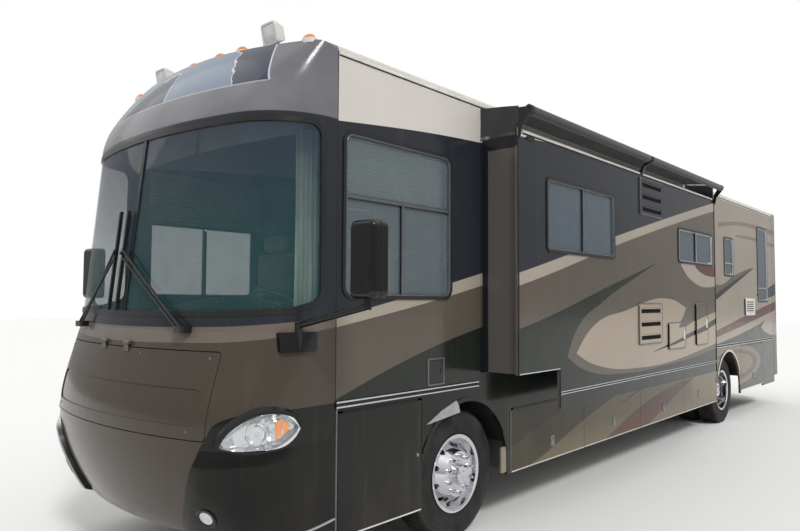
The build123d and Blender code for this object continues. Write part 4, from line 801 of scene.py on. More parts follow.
def roof_rails():
    """White rail with a dark gutter under the roof's edge, the caps' seams and upright edges."""
    for side, label in SIDES:
        plates(f"roof_rail_{label}", "white_trim", side,
               [(BODY_HALF, *ROOF_SPAN, 3.480, 3.500, 0.010, 0.003)])
        plates(f"roof_gutter_{label}", "hose", side,
               [(BODY_HALF, *ROOF_SPAN, 3.4715, 3.4795, 0.004, 0.001)])
        plates(f"cap_seams_{label}", "hose", side,
               [(BODY_HALF, y - 0.003, y + 0.003, low, 3.50, 0.0015, 0.0005)
                for y, low in CAP_SEAMS])
        edges = [(BODY_HALF, -1.413, -1.400, 0.405, 1.183, 0.006, 0.002)]
        if side > 0:
            edges.append((BODY_HALF, 0.629, 0.641, 0.405, 0.935, 0.007, 0.002))
        plates(f"upright_edges_{label}", "frame_grey", side, edges)


# Slide-out: its face's edges, and the notch over the front wheel's arch
SLIDE_FRONT_EDGE = 0.169
SLIDE_REAR_EDGE = 5.069
SLIDE_NOTCH = 0.83
SLIDE_TOP = 3.243
SLIDE_BOTTOM = 0.965
SKIRT = (SLIDE_NOTCH + 0.01, SLIDE_REAR_EDGE - 0.016)
AWNING_RAILS = ((0.24, 2.58), (2.66, 4.98))
# Trim of the slide-out's face: name, material, and plates as (front, rear, bottom, top, proud, bevel)
SLIDE_TRIM = [
    ("slide_uprights", "black_trim", [
        (SLIDE_FRONT_EDGE, SLIDE_FRONT_EDGE + 0.014, 1.297, SLIDE_TOP, 0.006, 0.002),
        (SLIDE_REAR_EDGE - 0.014, SLIDE_REAR_EDGE, SLIDE_BOTTOM, SLIDE_TOP, 0.006, 0.002),
        (SLIDE_NOTCH, SLIDE_NOTCH + 0.010, SLIDE_BOTTOM, 1.293, 0.006, 0.002)]),
    ("slide_mouldings", "bright", [
        (*SKIRT, 1.079, 1.087, 0.006, 0.002), (*SKIRT, 1.099, 1.107, 0.006, 0.002),
        (SLIDE_FRONT_EDGE + 0.016, SLIDE_NOTCH, 1.297, 1.306, 0.006, 0.002)]),
    ("awning_rail", "white_trim", [(*span, 3.218, 3.236, 0.012, 0.003) for span in AWNING_RAILS]),
    ("awning_gutter", "hose", [*((*span, 3.206, 3.217, 0.004, 0.001) for span in AWNING_RAILS),
                               (*SKIRT, 1.0885, 1.0975, 0.001, 0.0004)]),
]


def slide_trim():
    """Mouldings round the slide-out's face, its skirt line and the rail under the awning."""
    for name, material, rows in SLIDE_TRIM:
        plates(name, material, 1, [(SLIDE_FACE, *row) for row in rows], "slide_out")


# Panels on the slide-out's face: front, rear, bottom, top, number of louvre slots
PANELS = [(2.578, 3.190, 2.800, 3.188, 3), (2.512, 3.139, 1.430, 1.850, 3),
          (3.350, 3.874, 1.337, 1.631, 0), (4.271, 4.696, 1.345, 1.850, 0)]
PANEL_PROUD = 0.0143
PANEL_FACE = SLIDE_FACE + PANEL_PROUD
LOUVRE_FACE = SLIDE_FACE + 0.0062
# Edge round a panel: rows of (inset, distance out of the slide-out's face)
PANEL_EDGE = [(0, 0.0005), (0, PANEL_PROUD - 0.002), (0.003, PANEL_PROUD + 0.002),
              (0.011, PANEL_PROUD + 0.002), (0.011, PANEL_PROUD - 0.001),
              (0.0055, PANEL_PROUD - 0.002), (0.0055, 0.0005)]


def slide_panel_detail():
    """Bright edges, louvre slots with dark plates of painted shade, and latches of the vents and
    service hatches.
    """
    edges, slots, latches, lips = Pile(), Pile(), Pile(), Pile()
    for y0, y1, z0, z1, count in PANELS:
        edges.side_section(1, (y0 - 0.006, y1 + 0.006, z0 - 0.006, z1 + 0.006), 0.03,
                           [(inset, SLIDE_FACE + out) for inset, out in PANEL_EDGE], closed=True)
        for n in range(count):
            z = z0 + (n + 0.5) * (z1 - z0) / count
            # Dark plate under each louvre's lip: painted shade of the slot's opening
            slots.block(1, LOUVRE_FACE, (y0 + 0.048, y1 - 0.048, z - 0.027, z + 0.012), 0.0022,
                        0.0006)
            lips.block(1, LOUVRE_FACE, (y0 + 0.046, y1 - 0.046, z + 0.014, z + 0.029), 0.0085,
                       0.003)
        if not count:
            slots.block(1, SLIDE_FACE + 0.0005, (y0 - 0.018, y0 - 0.007, z0 + 0.01, z1 - 0.01),
                        0.015, 0.003)
            middle = (z0 + z1) / 2
            latches.block(1, PANEL_FACE, (y1 - 0.075, y1 - 0.030, middle - 0.055, middle + 0.055),
                          0.006, 0.002, 0.006)
    edges.built("panel_edges", "frame_grey", "slide_out")
    lips.built("panel_lips", "side_paint", "slide_out")
    slots.built("panel_slots", "black_and_slot_shade", "slide_out")
    latches.built("panel_latches", "white_trim", "slide_out")


# Baggage doors: name, front, rear, bottom, station and height of the latch
DOORS = [
    ("left_front_door", -1.390, -0.560, 0.360, -0.60, 0.76),
    ("left_bay_door_1", 0.650, 2.007, 0.402, 1.36, 0.57),
    ("left_bay_door_2", 2.013, 3.447, 0.402, 2.72, 0.57),
    ("left_bay_door_3", 3.453, 4.927, 0.402, 4.17, 0.55),
    ("left_bay_door_4", 4.933, 6.280, 0.402, 5.49, 0.60),
    ("left_rear_door", 7.560, 8.900, 0.440, 8.30, 0.62),
    ("right_front_door", -1.390, -0.560, 0.360, -0.60, 0.76),
    ("right_bay_door_1", 1.640, 3.137, 0.402, 2.39, 0.57),
    ("right_bay_door_2", 3.143, 4.697, 0.402, 3.92, 0.57),
    ("right_bay_door_3", 4.703, 6.280, 0.402, 5.49, 0.57),
    ("right_rear_door", 7.560, 8.900, 0.440, 8.23, 0.62),
]
# Dish of a paddle latch: rows of (inset, distance out of the door)
LATCH_DISH = [(0, 0), (0, 0.004), (0.003, 0.006), (0.010, 0.006), (0.013, 0.002)]


def door_detail():
    """Paddle latch and pale lower edge of each baggage door, and the front doors' square locks."""
    for name, y0, y1, z0, y, z in DOORS:
        side = 1 if name.startswith("left") else -1
        plates(f"{name}_edge", "white_trim", side,
               [(BODY_HALF, y0 + 0.004, y1 - 0.004, z0 + 0.001, z0 + 0.011, 0.003, 0.001)], name)
        latch = Pile()
        if name.endswith("front_door"):
            latch.block(side, BODY_HALF, (y - 0.012, y + 0.012, z - 0.012, z + 0.012), 0.004,
                        0.002, 0.008)
        else:
            latch.side_section(side, (y - 0.036, y + 0.036, z - 0.050, z + 0.050), 0.010,
                               [(inset, BODY_HALF + out) for inset, out in LATCH_DISH])
            latch.block(side, BODY_HALF + 0.002, (y - 0.020, y + 0.020, z - 0.034, z + 0.006),
                        0.005, 0.002, 0.004)
            latch.block(side, BODY_HALF + 0.002, (y - 0.008, y + 0.008, z + 0.014, z + 0.030),
                        0.004, 0.002, 0.006)
        latch.built(f"{name}_latch", "latch", name)


LIP_FACE = BODY_HALF + 0.008
# Lip over the rear wheel: rows of (proud of its face, radius), its ends in degrees, and steps
LIP_SECTION = [(0, 0.601), (0.003, 0.601), (0.003, 0.633), (0, 0.633)]
LIP_START, LIP_END = 27, 153
LIP_STEPS = 28
# Wedge on the front arch, as (station, height) points: the arch's moulded lip, its pale silver partly a
# painted highlight
WEDGE = [(-0.506, 0.964), (-0.30, 0.985), (-0.101, 1.006), (-0.115, 1.06), (-0.148, 1.102),
         (-0.33, 1.045)]


def arch_trim():
    """Pale wedge on the front arches, pale lip over the rear wheels, and a splash plate."""
    for side, label in SIDES:
        lip, wedge = Pile(), Pile()
        turns = [math.radians(between(LIP_START, LIP_END, n / LIP_STEPS))
                 for n in range(LIP_STEPS + 1)]
        lip.loft([[place(side * (LIP_FACE + out), REAR_AXLE + radius * math.cos(a),
                         AXLE_HEIGHT + radius * math.sin(a)) for out, radius in LIP_SECTION]
                  for a in turns])
        wedge.loft([[place(side * x, y, z) for y, z in WEDGE]
                    for x in (LIP_FACE - 0.007, LIP_FACE + 0.002)])
        lip.built(f"rear_arch_lip_{label}", "lip_paint")
        wedge.built(f"arch_wedge_{label}", "silver_lip_and_highlight")
    plates("splash_piece", "khaki_paint", 1,
           [(BODY_HALF - 0.022, 0.505, 0.579, 0.42, 0.635, 0.018, 0.003)])


# Fuel door and vent box, as front, rear, bottom and top
FUEL_DOOR = (-0.495, -0.292, 1.240, 1.446)
FUEL_FRAME = [(0, 0), (0, 0.006), (0.003, 0.008), (0.013, 0.008), (0.016, 0.002), (0.016, 0)]
VENT_BOX = (7.859, 8.400, 1.646, 1.933)
VENT_RIM = [(0, 0), (0, 0.018), (0.006, 0.024), (0.030, 0.024), (0.036, 0.012)]
VENT_SLATS = 6
VENT_SLAT_SPAN = (7.905, 8.354)


def small_doors():
    """Square fuel door by the front wheel and the vent box near the tail."""
    frame_ring, leaf = Pile(), Pile()
    frame_ring.side_section(1, FUEL_DOOR, 0.012,
                            [(inset, BODY_HALF + out) for inset, out in FUEL_FRAME], closed=True)
    leaf.block(1, BODY_HALF, tuple(v + d for v, d in zip(FUEL_DOOR, (0.018, -0.018) * 2)), 0.004,
               0.001, 0.008)
    leaf.block(1, BODY_HALF + 0.004, (-0.345, -0.325, 1.33, 1.36), 0.006, 0.002, 0.004)
    frame_ring.built("fuel_door_frame", "frame_grey")
    leaf.built("fuel_door", "gloss_black")
    box, slats = Pile(), Pile()
    box.side_section(1, VENT_BOX, 0.02, [(inset, BODY_HALF + out) for inset, out in VENT_RIM])
    for n in range(VENT_SLATS):
        z = 1.696 + n * 0.037
        box.block(1, BODY_HALF + 0.012, (*VENT_SLAT_SPAN, z, z + 0.020), 0.010, 0.004)
        # Dark plates between the slats: painted shade of the vent's openings
        slats.block(1, BODY_HALF + 0.012, (*VENT_SLAT_SPAN, z + 0.0205, z + 0.0365), 0.001, 0.0003)
    slats.block(1, BODY_HALF, (7.838, 7.857, 1.655, 1.925), 0.016, 0.003)
    box.built("vent_box", "white_trim")
    slats.built("vent_box_slots", "black_and_slot_shade")


# Headlamp: its almond in the side view, as (station, height) points
LAMP_TIP = (-2.140, 1.020)
LAMP_CROWN = (-1.960, 1.200)
LAMP_BACK = (-1.715, 1.110)
LAMP_KEEL = (-1.930, 1.000)
LAMP_MIDDLE = (-1.93, 1.09)


def arc_through(start, middle, end, steps):
    """Points of the circle's arc from start through middle to end."""
    a, b, c = (complex(*point) for point in (start, middle, end))
    slant = (c - a) / (b - a)
    centre = a + (b - a) * (slant - abs(slant) ** 2) / (2j * slant.imag)
    first = cmath.phase(a - centre)
    sweep = (cmath.phase(c - centre) - first) % math.tau
    if (cmath.phase(b - centre) - first) % math.tau > sweep:
        sweep -= math.tau
    points = [centre + cmath.rect(abs(a - centre), first + sweep * n / steps)
              for n in range(steps + 1)]
    return [(point.real, point.imag) for point in points]


LAMP_STEPS = 30
LAMP_TOP = arc_through(LAMP_TIP, LAMP_CROWN, LAMP_BACK, LAMP_STEPS)
LAMP_LOW = arc_through(LAMP_TIP, LAMP_KEEL, LAMP_BACK, LAMP_STEPS)
# The lens's blunt end reaches past the almond: (station, height) points on from its middle
BLUNT_TOP = [(-1.960, 1.200), (-1.880, 1.203), (-1.812, 1.192), (-1.750, 1.166), (-1.702, 1.101)]
BLUNT_LOW = [(-1.930, 1.000), (-1.860, 1.003), (-1.800, 1.018), (-1.741, 1.054), (-1.702, 1.101)]


def through(points, share):
    """Point of a smooth line through a few points, at a share of its length."""
    at = min(share * (len(points) - 1), len(points) - 1.000001)
    n = int(at)
    t = at - n
    a, b, c, d = (points[max(0, min(len(points) - 1, n + k))] for k in (-1, 0, 1, 2))
    return tuple(0.5 * (2 * q + (r - p) * t + (2 * p - 5 * q + 4 * r - u) * t * t
                        + (3 * q - p - 3 * r + u) * t ** 3) for p, q, r, u in zip(a, b, c, d))


def blunt(arc, end):
    """An arc of the almond, led over to the blunt end behind its middle."""
    first = min(range(len(arc)), key=lambda n: math.dist(arc[n], end[0]))
    return arc[:first] + [through(end, n / (len(arc) - 1 - first))
                          for n in range(len(arc) - first)]


LENS_TOP = blunt(LAMP_TOP, BLUNT_TOP)
LENS_LOW = blunt(LAMP_LOW, BLUNT_LOW)
# Step of the lens's outline where the cheeks start
CHEEK_START = 10
# Reflectors: station, height, radius. Their section: rows of (depth, share of the radius).
LAMP_DISHES = ((-1.965, 1.085, 0.062), (-1.868, 1.100, 0.058))
DISH_SECTION = ((0.010, 0.2), (0.006, 0.55), (0.022, 1.0), (0.030, 1.0), (0.026, 1.12),
                (0.012, 1.12))
LAMP_AMBER = ((-1.862, 1.050), (-1.870, 1.160), (-1.830, 1.165), (-1.770, 1.128), (-1.800, 1.090))
# Rim: rows of (reach outwards, height). Brow: rows of (share of its width, height).
LAMP_RIM = ((0.002, 0.0), (0.002, 0.006), (0.013, 0.007), (0.016, 0.0))
LAMP_BROW = ((0, 0.0), (0, 0.010), (0.5, 0.016), (1, 0.003), (1, 0.0))


def lamp_bowl(side, label):
    """Mirror bowl behind the lens, and the mirror cheeks at its blunt end."""
    bowl, cheeks = Pile(), Pile()
    rows = []
    for n in range(1, LAMP_STEPS):
        (ya, za), (yb, zb) = LAMP_LOW[n], LAMP_TOP[n]
        end = min(n, LAMP_STEPS - n) / LAMP_STEPS * 2
        row = []
        for m in range(13):
            share = m / 12
            hem = min(share, 1 - share) * 2
            depth = 0.005 + 0.058 * math.sqrt(min(1.0, 3 * hem, 3 * end))
            row.append(off_flank(side, between(ya, yb, share), between(za, zb, share), -depth))
        rows.append(row)
    bowl.sheet(rows)
    for near, far in ((LAMP_TOP, LENS_TOP), (LAMP_LOW, LENS_LOW)):
        cheeks.sheet([[off_flank(side, between(ya, yb, share), between(za, zb, share), 0.0025)
                       for share in (0.0, 0.5, 1.0)]
                      for (ya, za), (yb, zb) in zip(near[CHEEK_START:], far[CHEEK_START:])])
    bowl.built(f"lamp_bowl_{label}", "reflector", sharp=60)
    cheeks.built(f"lamp_cheeks_{label}", "reflector", sharp=60)


def lamp_optics(side, label):
    """Two dished reflectors with their bulbs, and the amber wedge."""
    dishes, bulbs, amber = Pile(), Pile(), Pile()
    for y, z, radius in LAMP_DISHES:
        spot, normal = on_flank(side, y, z)
        aim = (normal + 0.6 * AHEAD).normalized()
        base = spot - normal * 0.060
        dishes.disc(base, aim, [(depth, radius * share) for depth, share in DISH_SECTION], 32)
        bulbs.disc(base, aim, [(0.010, 0.012), (0.028, 0.012), (0.034, 0.006)], 14)
    amber.loft([[off_flank(side, y, z, -depth) for y, z in LAMP_AMBER]
                for depth in (0.016, 0.006)])
    dishes.built(f"lamp_dishes_{label}", "reflector")
    bulbs.built(f"lamp_bulbs_{label}", "white_trim")
    amber.built(f"lamp_amber_{label}", "turn_amber")


def lamp_moulding(name, side, outline, sections, closed=False):
    """Black moulding along a lamp's outline, with a section of (reach, height) rows at each point."""
    loops = []
    for (y, z), section in zip(outline, sections):
        away = Vector((y - LAMP_MIDDLE[0], z - LAMP_MIDDLE[1])).normalized()
        loops.append([off_flank(side, y + away.x * reach, z + away.y * reach, lift)
                      for reach, lift in section])
    pile = Pile()
    pile.loft(loops, closed)
    pile.built(name, "gloss_black")


def head_lamps():
    """Bowl, reflectors, amber wedge, black rim and black brow of both headlamps."""
    around = LENS_TOP + LENS_LOW[-2:0:-1]
    widths = [0.012 + 0.022 * math.sin(math.pi * n / (LAMP_STEPS - 1)) for n in range(LAMP_STEPS)]
    brows = [[(0.014 + width * share, lift) for share, lift in LAMP_BROW] for width in widths]
    for side, label in SIDES:
        lamp_bowl(side, label)
        lamp_optics(side, label)
        lamp_moulding(f"lamp_rim_{label}", side, around, [LAMP_RIM] * len(around), closed=True)
        lamp_moulding(f"lamp_brow_{label}", side, LENS_TOP[1:], brows)


POD_LOW = 0.445
POD_HIGH = 1.0
POD_PROUD = 0.045
POD_ROWS = 37
# Gap between the pod's inner edge and the nose's bronze, and the station where the pod ends
POD_GAP = 0.004
POD_END = -1.43


def pod_half(z):
    """Half width of the nose between the corner pods."""
    for (z0, w0), (z1, w1) in zip(POD_EDGE, POD_EDGE[1:]):
        if z <= z1:
            return w0 + (w1 - w0) * (z - z0) / (z1 - z0)
    return POD_EDGE[-1][1]


def pod_row(side, z, count=26):
    """Points and outward directions round a corner of the cap at one height."""
    hits = []
    centre = place(side * 0.3, -1.30, z)
    inner_x = pod_half(z) + POD_GAP
    for n in range(181):
        a = math.radians(n / 2)
        aim = Vector((side * math.sin(a), -math.cos(a), 0))
        spot, normal = struck(NOSE, centre + aim * 3, -aim)
        if spot is not None:
            hits.append((spot, normal))
    first = next(n for n, hit in enumerate(hits) if abs(hit[0].x) > inner_x)
    last = max(n for n, hit in enumerate(hits) if hit[0].y - AXLE_Y < POD_END)
    inner, outer = abs(hits[first - 1][0].x), abs(hits[first][0].x)
    start = first - 1 + (inner_x - inner) / (outer - inner)
    row = []
    for n in range(count):
        at = start + (last - start) * n / (count - 1)
        low = min(int(at), last - 1)
        (near, near_out), (far, far_out) = hits[low:low + 2]
        row.append((near.lerp(far, at - low), near_out.lerp(far_out, at - low).normalized()))
    return row


POD_TREES = {}


def pods():
    """Raised shells of the bumper's corner pods, proud of the nose at their inner edge."""
    for side, label in SIDES:
        pile = Pile()
        rows = []
        for n in range(POD_ROWS + 1):
            z = POD_LOW + (POD_HIGH - POD_LOW) * n / POD_ROWS
            ends = min(1.0, (z - POD_LOW) / 0.03, (POD_HIGH - z) / 0.10)
            points = pod_row(side, z)
            row = [points[0][0] - points[0][1] * 0.004]
            for m, (spot, normal) in enumerate(points):
                fade = max(0.0, 1 - m / (len(points) - 1)) ** 1.3
                round_edge = min(1.0, 0.7 + m * 0.15)
                row.append(spot + normal * (POD_PROUD * ends * fade * round_edge + 0.0005))
            row.append(points[-1][0] - points[-1][1] * 0.004)
            rows.append(row)
        pile.sheet(rows)
        POD_TREES[side] = BVHTree.FromPolygons(pile.points, pile.faces)
        pile.built(f"pod_{label}", "pod_paint", sharp=40)


# Fog lamps: (X, height), and rows of (height over the pod, radius)
FOG_LAMP = (0.941, 0.593)
FOG_BEZEL = [(-0.012, 0.068), (0.004, 0.068), (0.008, 0.062), (0.006, 0.050), (0.001, 0.046)]
FOG_LENS = [(0.001, 0.045), (0.004, 0.044), (0.008, 0.030), (0.009, 0.008)]
# Screws of the nose hatch, as (X, height) on either side of the middle
HATCH_SCREWS = ((0.938, 1.524), (0.873, 1.100), (0.32, 1.53))
SCREW = [(0, 0.008), (0.002, 0.008), (0.004, 0.005), (0.002, 0.003)]


def nose_detail():
    """Fog lamps, hatch screws and the bright line along the foot of the pods."""
    bezel, lens, screws = Pile(), Pile(), Pile()
    for side in (-1, 1):
        spot, normal = struck(POD_TREES[side], place(side * FOG_LAMP[0], -4.0, FOG_LAMP[1]), -AHEAD)
        bezel.disc(spot, normal, FOG_BEZEL, 36)
        lens.disc(spot, normal, FOG_LENS, 32)
    for x, z in HATCH_SCREWS:
        for side in (1, -1):
            spot, normal = struck(NOSE, place(side * x, -4.0, z), -AHEAD)
            screws.disc(spot, normal, SCREW)
    bezel.built("fog_bezels", "gloss_black")
    lens.built("fog_lenses", "lens_pale")
    screws.built("hatch_screws", "frame_grey", "nose_hatch")
    for side, label in SIDES:
        strip = Pile()
        strip.tube([off_flank(side, -1.80 + 0.38 * n / 12, 0.470 + 0.030 * (n / 12) ** 2, 0.004)
                    for n in range(13)], 0.008, 8)
        strip.built(f"pod_strip_{label}", "bright")


DOCKING_LIGHT = (0.725, -1.56, 3.715)
DOCKING_TILT = math.radians(12)
# Rim of a docking light: rows of (half width, depth)
DOCKING_RIM = [(0.0775, 0.0), (0.0755, -0.003), (0.067, -0.003), (0.0645, 0.0)]


def roof_lamps():
    """Lenses and rims of the docking lights."""
    up = Vector((0, -math.sin(DOCKING_TILT), math.cos(DOCKING_TILT)))
    back = Vector((0, math.cos(DOCKING_TILT), math.sin(DOCKING_TILT)))
    lens, rim = Pile(), Pile()
    for side in (-1, 1):
        centre = place(side * DOCKING_LIGHT[0], *DOCKING_LIGHT[1:])

        def at(x, z, depth):
            return centre + Vector((x, 0, 0)) + up * z + back * depth
        lens.outlines(at, (-0.0625, 0.0625) * 2, 0.014, [(0, 0.0075), (0, 0.003), (0.003, 0.002)])
        rim.outlines(at, (0, 0, 0, 0), 0.018, [(-half, depth) for half, depth in DOCKING_RIM],
                     closed=True)
    lens.built("docking_lenses", "lens_pale")
    rim.built("docking_rims", "white_trim")


# Lamps along the brow's top, as (X, station), with rows of (height, share of the lamp's size)
BROW_LAMPS = [(1.15, -1.56), (0.555, -1.66), (0.305, -1.67), (-0.02, -1.68), (-0.95, -1.62)]
BROW_BASE_ROWS = [(-0.02, 1.0), (0.010, 1.0), (0.014, 0.92)]
BROW_LENS_ROWS = [(0.012, 0.84), (0.024, 0.80), (0.036, 0.62), (0.044, 0.34), (0.046, 0.08)]


def brow_lamps():
    """Amber lamps on white bases along the brow's top, in place of the plain ones."""
    bases, lenses = Pile(), Pile()
    for x, station in BROW_LAMPS:
        spot, _ = struck(NOSE, place(x, station, 5.0), Vector((0, 0, -1)))
        for pile, rows in ((bases, BROW_BASE_ROWS), (lenses, BROW_LENS_ROWS)):
            pile.rings([(spot + Vector((0, 0, height)), Vector((0.062 * share, 0, 0)),
                         Vector((0, 0.040 * share, 0))) for height, share in rows], 24)
    bases.built("brow_lamp_bases", "white_trim")
    lens = lenses.built("brow_lamp_lenses", "amber")
    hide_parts("marker_lamps")


WHEEL_X = 1.05
NUTS = 10
NUT_CIRCLE = 0.143
# Sections of the wheels' fittings: rows of (distance out, radius)
NUT = [(0.0, 0.019), (0.006, 0.019), (0.008, 0.0155), (0.030, 0.0150), (0.040, 0.011),
       (0.044, 0.004)]
RIM_LIP = [(0.122, 0.282), (0.128, 0.300), (0.128, 0.305), (0.116, 0.306), (0.112, 0.296),
           (0.112, 0.284)]
FRONT_BOSS = [(0.150, 0.110), (0.156, 0.106), (0.156, 0.098), (0.153, 0.090)]
FRONT_CAP = [(0.205, 0.030), (0.209, 0.028), (0.211, 0.018), (0.211, 0.002), (0.205, 0.002)]
REAR_CAP = [(0.070, 0.060), (0.076, 0.058), (0.080, 0.040), (0.080, 0.002), (0.070, 0.002)]
# Wheels: name, body, station, X of the nuts' seat, turned sections with their steps
WHEELS = [
    ("front", "front_wheel", 0.0, 1.2005, ((RIM_LIP, 72), (FRONT_BOSS, 48), (FRONT_CAP, 32))),
    ("rear", "rear_wheels", REAR_AXLE, 0.902, ((RIM_LIP, 72), (REAR_CAP, 40))),
]


def wheel_detail():
    """Nuts, hub caps and polished lips of the wheels."""
    for side, label in SIDES:
        for name, body, station, seat, sections in WHEELS:
            pile = Pile()
            for n in range(NUTS):
                turn = 2 * math.pi * (n + 0.5) / NUTS
                centre = place(side * seat, station + NUT_CIRCLE * math.cos(turn),
                               AXLE_HEIGHT + NUT_CIRCLE * math.sin(turn))
                pile.turned(side, centre, NUT, 12, closed=False)
            for section, steps in sections:
                pile.turned(side, place(side * WHEEL_X, station, AXLE_HEIGHT), section, steps)
            pile.built(f"{name}_wheel_detail_{label}", "polished", f"{body}_{label}")


TYRE_RADIUS = 0.5
TWIN_SPACING = 0.34
GROOVES = (-0.066, -0.022, 0.022, 0.066)
GROOVE_HALF = 0.006
GROOVE_DEPTH = 0.011
TREAD_STEPS = 120
SIPE = 0.007
SIPE_TURN = 0.012
# Half of a tyre's section up to its tread: distance from its middle, radius, 1 where lugs cut it
TYRE_SIDE = [
    (0.110, 0.289, 0), (0.110, 0.300, 0), (0.118, 0.312, 0), (0.128, 0.325, 0), (0.131, 0.330, 0),
    (0.131, 0.336, 0), (0.134, 0.345, 0), (0.139, 0.375, 0), (0.1385, 0.395, 0),
    (0.1395, 0.398, 0), (0.1395, 0.404, 0), (0.138, 0.407, 0), (0.136, 0.438, 0),
    (0.131, 0.458, 0), (0.127, 0.468, 1), (0.126, 0.480, 1), (0.120, 0.492, 1),
    (0.108, 0.4995, 1)]


def tyre_rows():
    """Section of the tyre's skin from bead to bead, in the columns of TYRE_SIDE."""
    tread = []
    for middle in GROOVES:
        for along, drop in ((-GROOVE_HALF - 0.001, 0), (-GROOVE_HALF + 0.001, GROOVE_DEPTH),
                            (GROOVE_HALF - 0.001, GROOVE_DEPTH), (GROOVE_HALF + 0.001, 0)):
            tread.append((middle + along, TYRE_RADIUS - 0.0005 - drop, 0 if drop else 1))
    return [(-x, r, lug) for x, r, lug in TYRE_SIDE] + tread + TYRE_SIDE[::-1]


def add_tyre(pile, station, middle):
    """One tyre: beads, ringed sidewalls, shoulder lugs, ribs, grooves and sipes."""
    rows = tyre_rows()
    loops = []
    for step in range(TREAD_STEPS * 2):
        cut = SIPE * (step % 2)
        for shift in (-SIPE_TURN, SIPE_TURN):
            turn = math.pi * step / TREAD_STEPS + shift
            loop = []
            for x, radius, lug in rows:
                radius -= cut * lug
                loop.append(place(middle + x, station + radius * math.cos(turn),
                                  AXLE_HEIGHT + radius * math.sin(turn)))
            loops.append(loop)
    pile.loft(loops, closed=True)


def make_tyres():
    """Treaded tyres in place of the plain ones."""
    for side, label in SIDES:
        front, rear = Pile(), Pile()
        add_tyre(front, 0.0, side * WHEEL_X)
        add_tyre(rear, REAR_AXLE, side * WHEEL_X)
        add_tyre(rear, REAR_AXLE, side * (WHEEL_X - TWIN_SPACING))
        piece = front.built(f"treaded_tyre_front_{label}", "front_rubber", f"front_wheel_{label}")
        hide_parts(f"front_tyre_{label}")
        piece = rear.built(f"treaded_tyres_rear_{label}", "rear_rubber", f"rear_wheels_{label}")
        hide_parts(f"rear_tyres_{label}")


MIRROR_X = 1.76
# Glasses of a mirror head: bottom and top. Sections: rows of (inset, station).
MIRROR_GLASSES = ((1.895, 2.027), (2.043, 2.320))
MIRROR_GLASS = [(0.002, -1.5655), (0.002, -1.5635), (0.004, -1.563)]
MIRROR_SEAM = [(0.0, -1.612), (-0.0015, -1.612), (-0.0015, -1.606), (0.0, -1.606)]


def mirror_detail():
    """Glasses in the mirror heads' pockets and the lines of the heads' shells."""
    glasses, seams = Pile(), Pile()
    for side in (-1, 1):
        x = side * MIRROR_X
        for z0, z1 in MIRROR_GLASSES:
            glasses.end_section((x - 0.086, x + 0.086, z0, z1), 0.022, MIRROR_GLASS)
        seams.end_section((x - 0.1, x + 0.1, 1.88, 2.335), 0.045, MIRROR_SEAM, closed=True)
    glasses.built("mirror_glasses", "mirror")
    seams.built("mirror_seams", "hose")


# Awning cloth: X and height at the roof's rail and at the roller, and its front and rear edges
CLOTH_RAIL = (1.2815, 3.469)
CLOTH_ROLLER = (1.745, 3.418)
CLOTH_SPAN = (0.231, 5.007)


def topper_cloth():
    """Awning cloth from the roof's rail to the roller, tight with slight sags between its folds."""
    def at(down, across):
        y = between(*CLOTH_SPAN, down)
        sag = 0.006 * math.sin(math.pi * across) * (1 + 0.4 * math.sin(y * 7.0))
        return place(between(CLOTH_RAIL[0], CLOTH_ROLLER[0], across), y,
                     between(CLOTH_RAIL[1], CLOTH_ROLLER[1], across) - sag + 0.0005)
    pile = Pile()
    pile.grid(at, 96, 12)
    cloth = pile.built("topper_cloth", "awning", body=None, sharp=60)
    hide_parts("topper_fabric")
    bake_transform(cloth)


def topper_flaps():
    """Cloth flaps that close the gap over the slide-out's ends, below the awning cloth."""
    for y, label in ((0.186, "front"), (5.052, "rear")):
        def at(across, down):
            top = between(3.466, 3.425, across)
            wave = 0.004 * math.sin(2.5 * math.pi * across + down * 8 / 3)
            return place(between(1.2845, 1.6485, across), y + wave, between(top, 3.222, down))
        pile = Pile()
        pile.grid(at, 8, 8)
        flap = pile.built(f"topper_flap_{label}", "awning", body=None, sharp=60)
        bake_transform(flap)


ROLLER_X = 1.745
ROLLER_Z = 3.375
# Roller and its end caps: rows of (station, radius)
ROLLER = [(0.186, 0.010), (0.186, 0.034), (0.196, 0.041), (0.216, 0.041), (0.218, 0.037),
          (5.020, 0.037), (5.022, 0.041), (5.042, 0.041), (5.052, 0.034), (5.052, 0.010)]
# Outlines of the roller's arms and its middle cradle, as (X, height) points
ARM = [(1.652, 3.165), (1.668, 3.165), (1.690, 3.255), (1.776, 3.360), (1.782, 3.392),
       (1.756, 3.416), (1.728, 3.408), (1.655, 3.290), (1.652, 3.262)]
CRADLE = [(1.652, 3.225), (1.672, 3.225), (1.700, 3.300), (1.790, 3.340), (1.792, 3.385),
          (1.783, 3.388), (1.778, 3.346), (1.700, 3.330), (1.652, 3.262)]


def awning_roller():
    """Roller tube with end caps, slim arms and the middle cradle, in place of the plain ones."""
    tube, arms = Pile(), Pile()
    tube.rings([(place(ROLLER_X, y, ROLLER_Z), Vector((radius, 0, 0)), Vector((0, 0, radius)))
                for y, radius in ROLLER], 28)
    for outline, y0, y1 in ((ARM, 0.172, 0.184), (ARM, 5.054, 5.066), (CRADLE, 2.598, 2.640)):
        arms.loft([[place(x, y, z) for x, z in outline] for y in (y0, y1)])
    arms.block(1, SLIDE_FACE, (2.585, 2.653, 3.222, 3.268), 0.010, 0.003, 0.004)
    arms.block(1, SLIDE_FACE, (0.30, 0.42, 3.172, 3.202), 0.012, 0.003, 0.003)
    roller = tube.built("awning_roller", "awning", "slide_out")
    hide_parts("topper_roller")
    arms.built("awning_arms", "black_trim", "slide_out")


def path_length(points):
    return sum(math.dist(a, b) for a, b in zip(points, points[1:]))


# Curtain: X at its front, lean outwards, front, rear, hem, top, folds and their depth
CURTAIN = (1.09, 0.07, -1.61, -1.465, 1.80, 2.98, 5, 0.014)


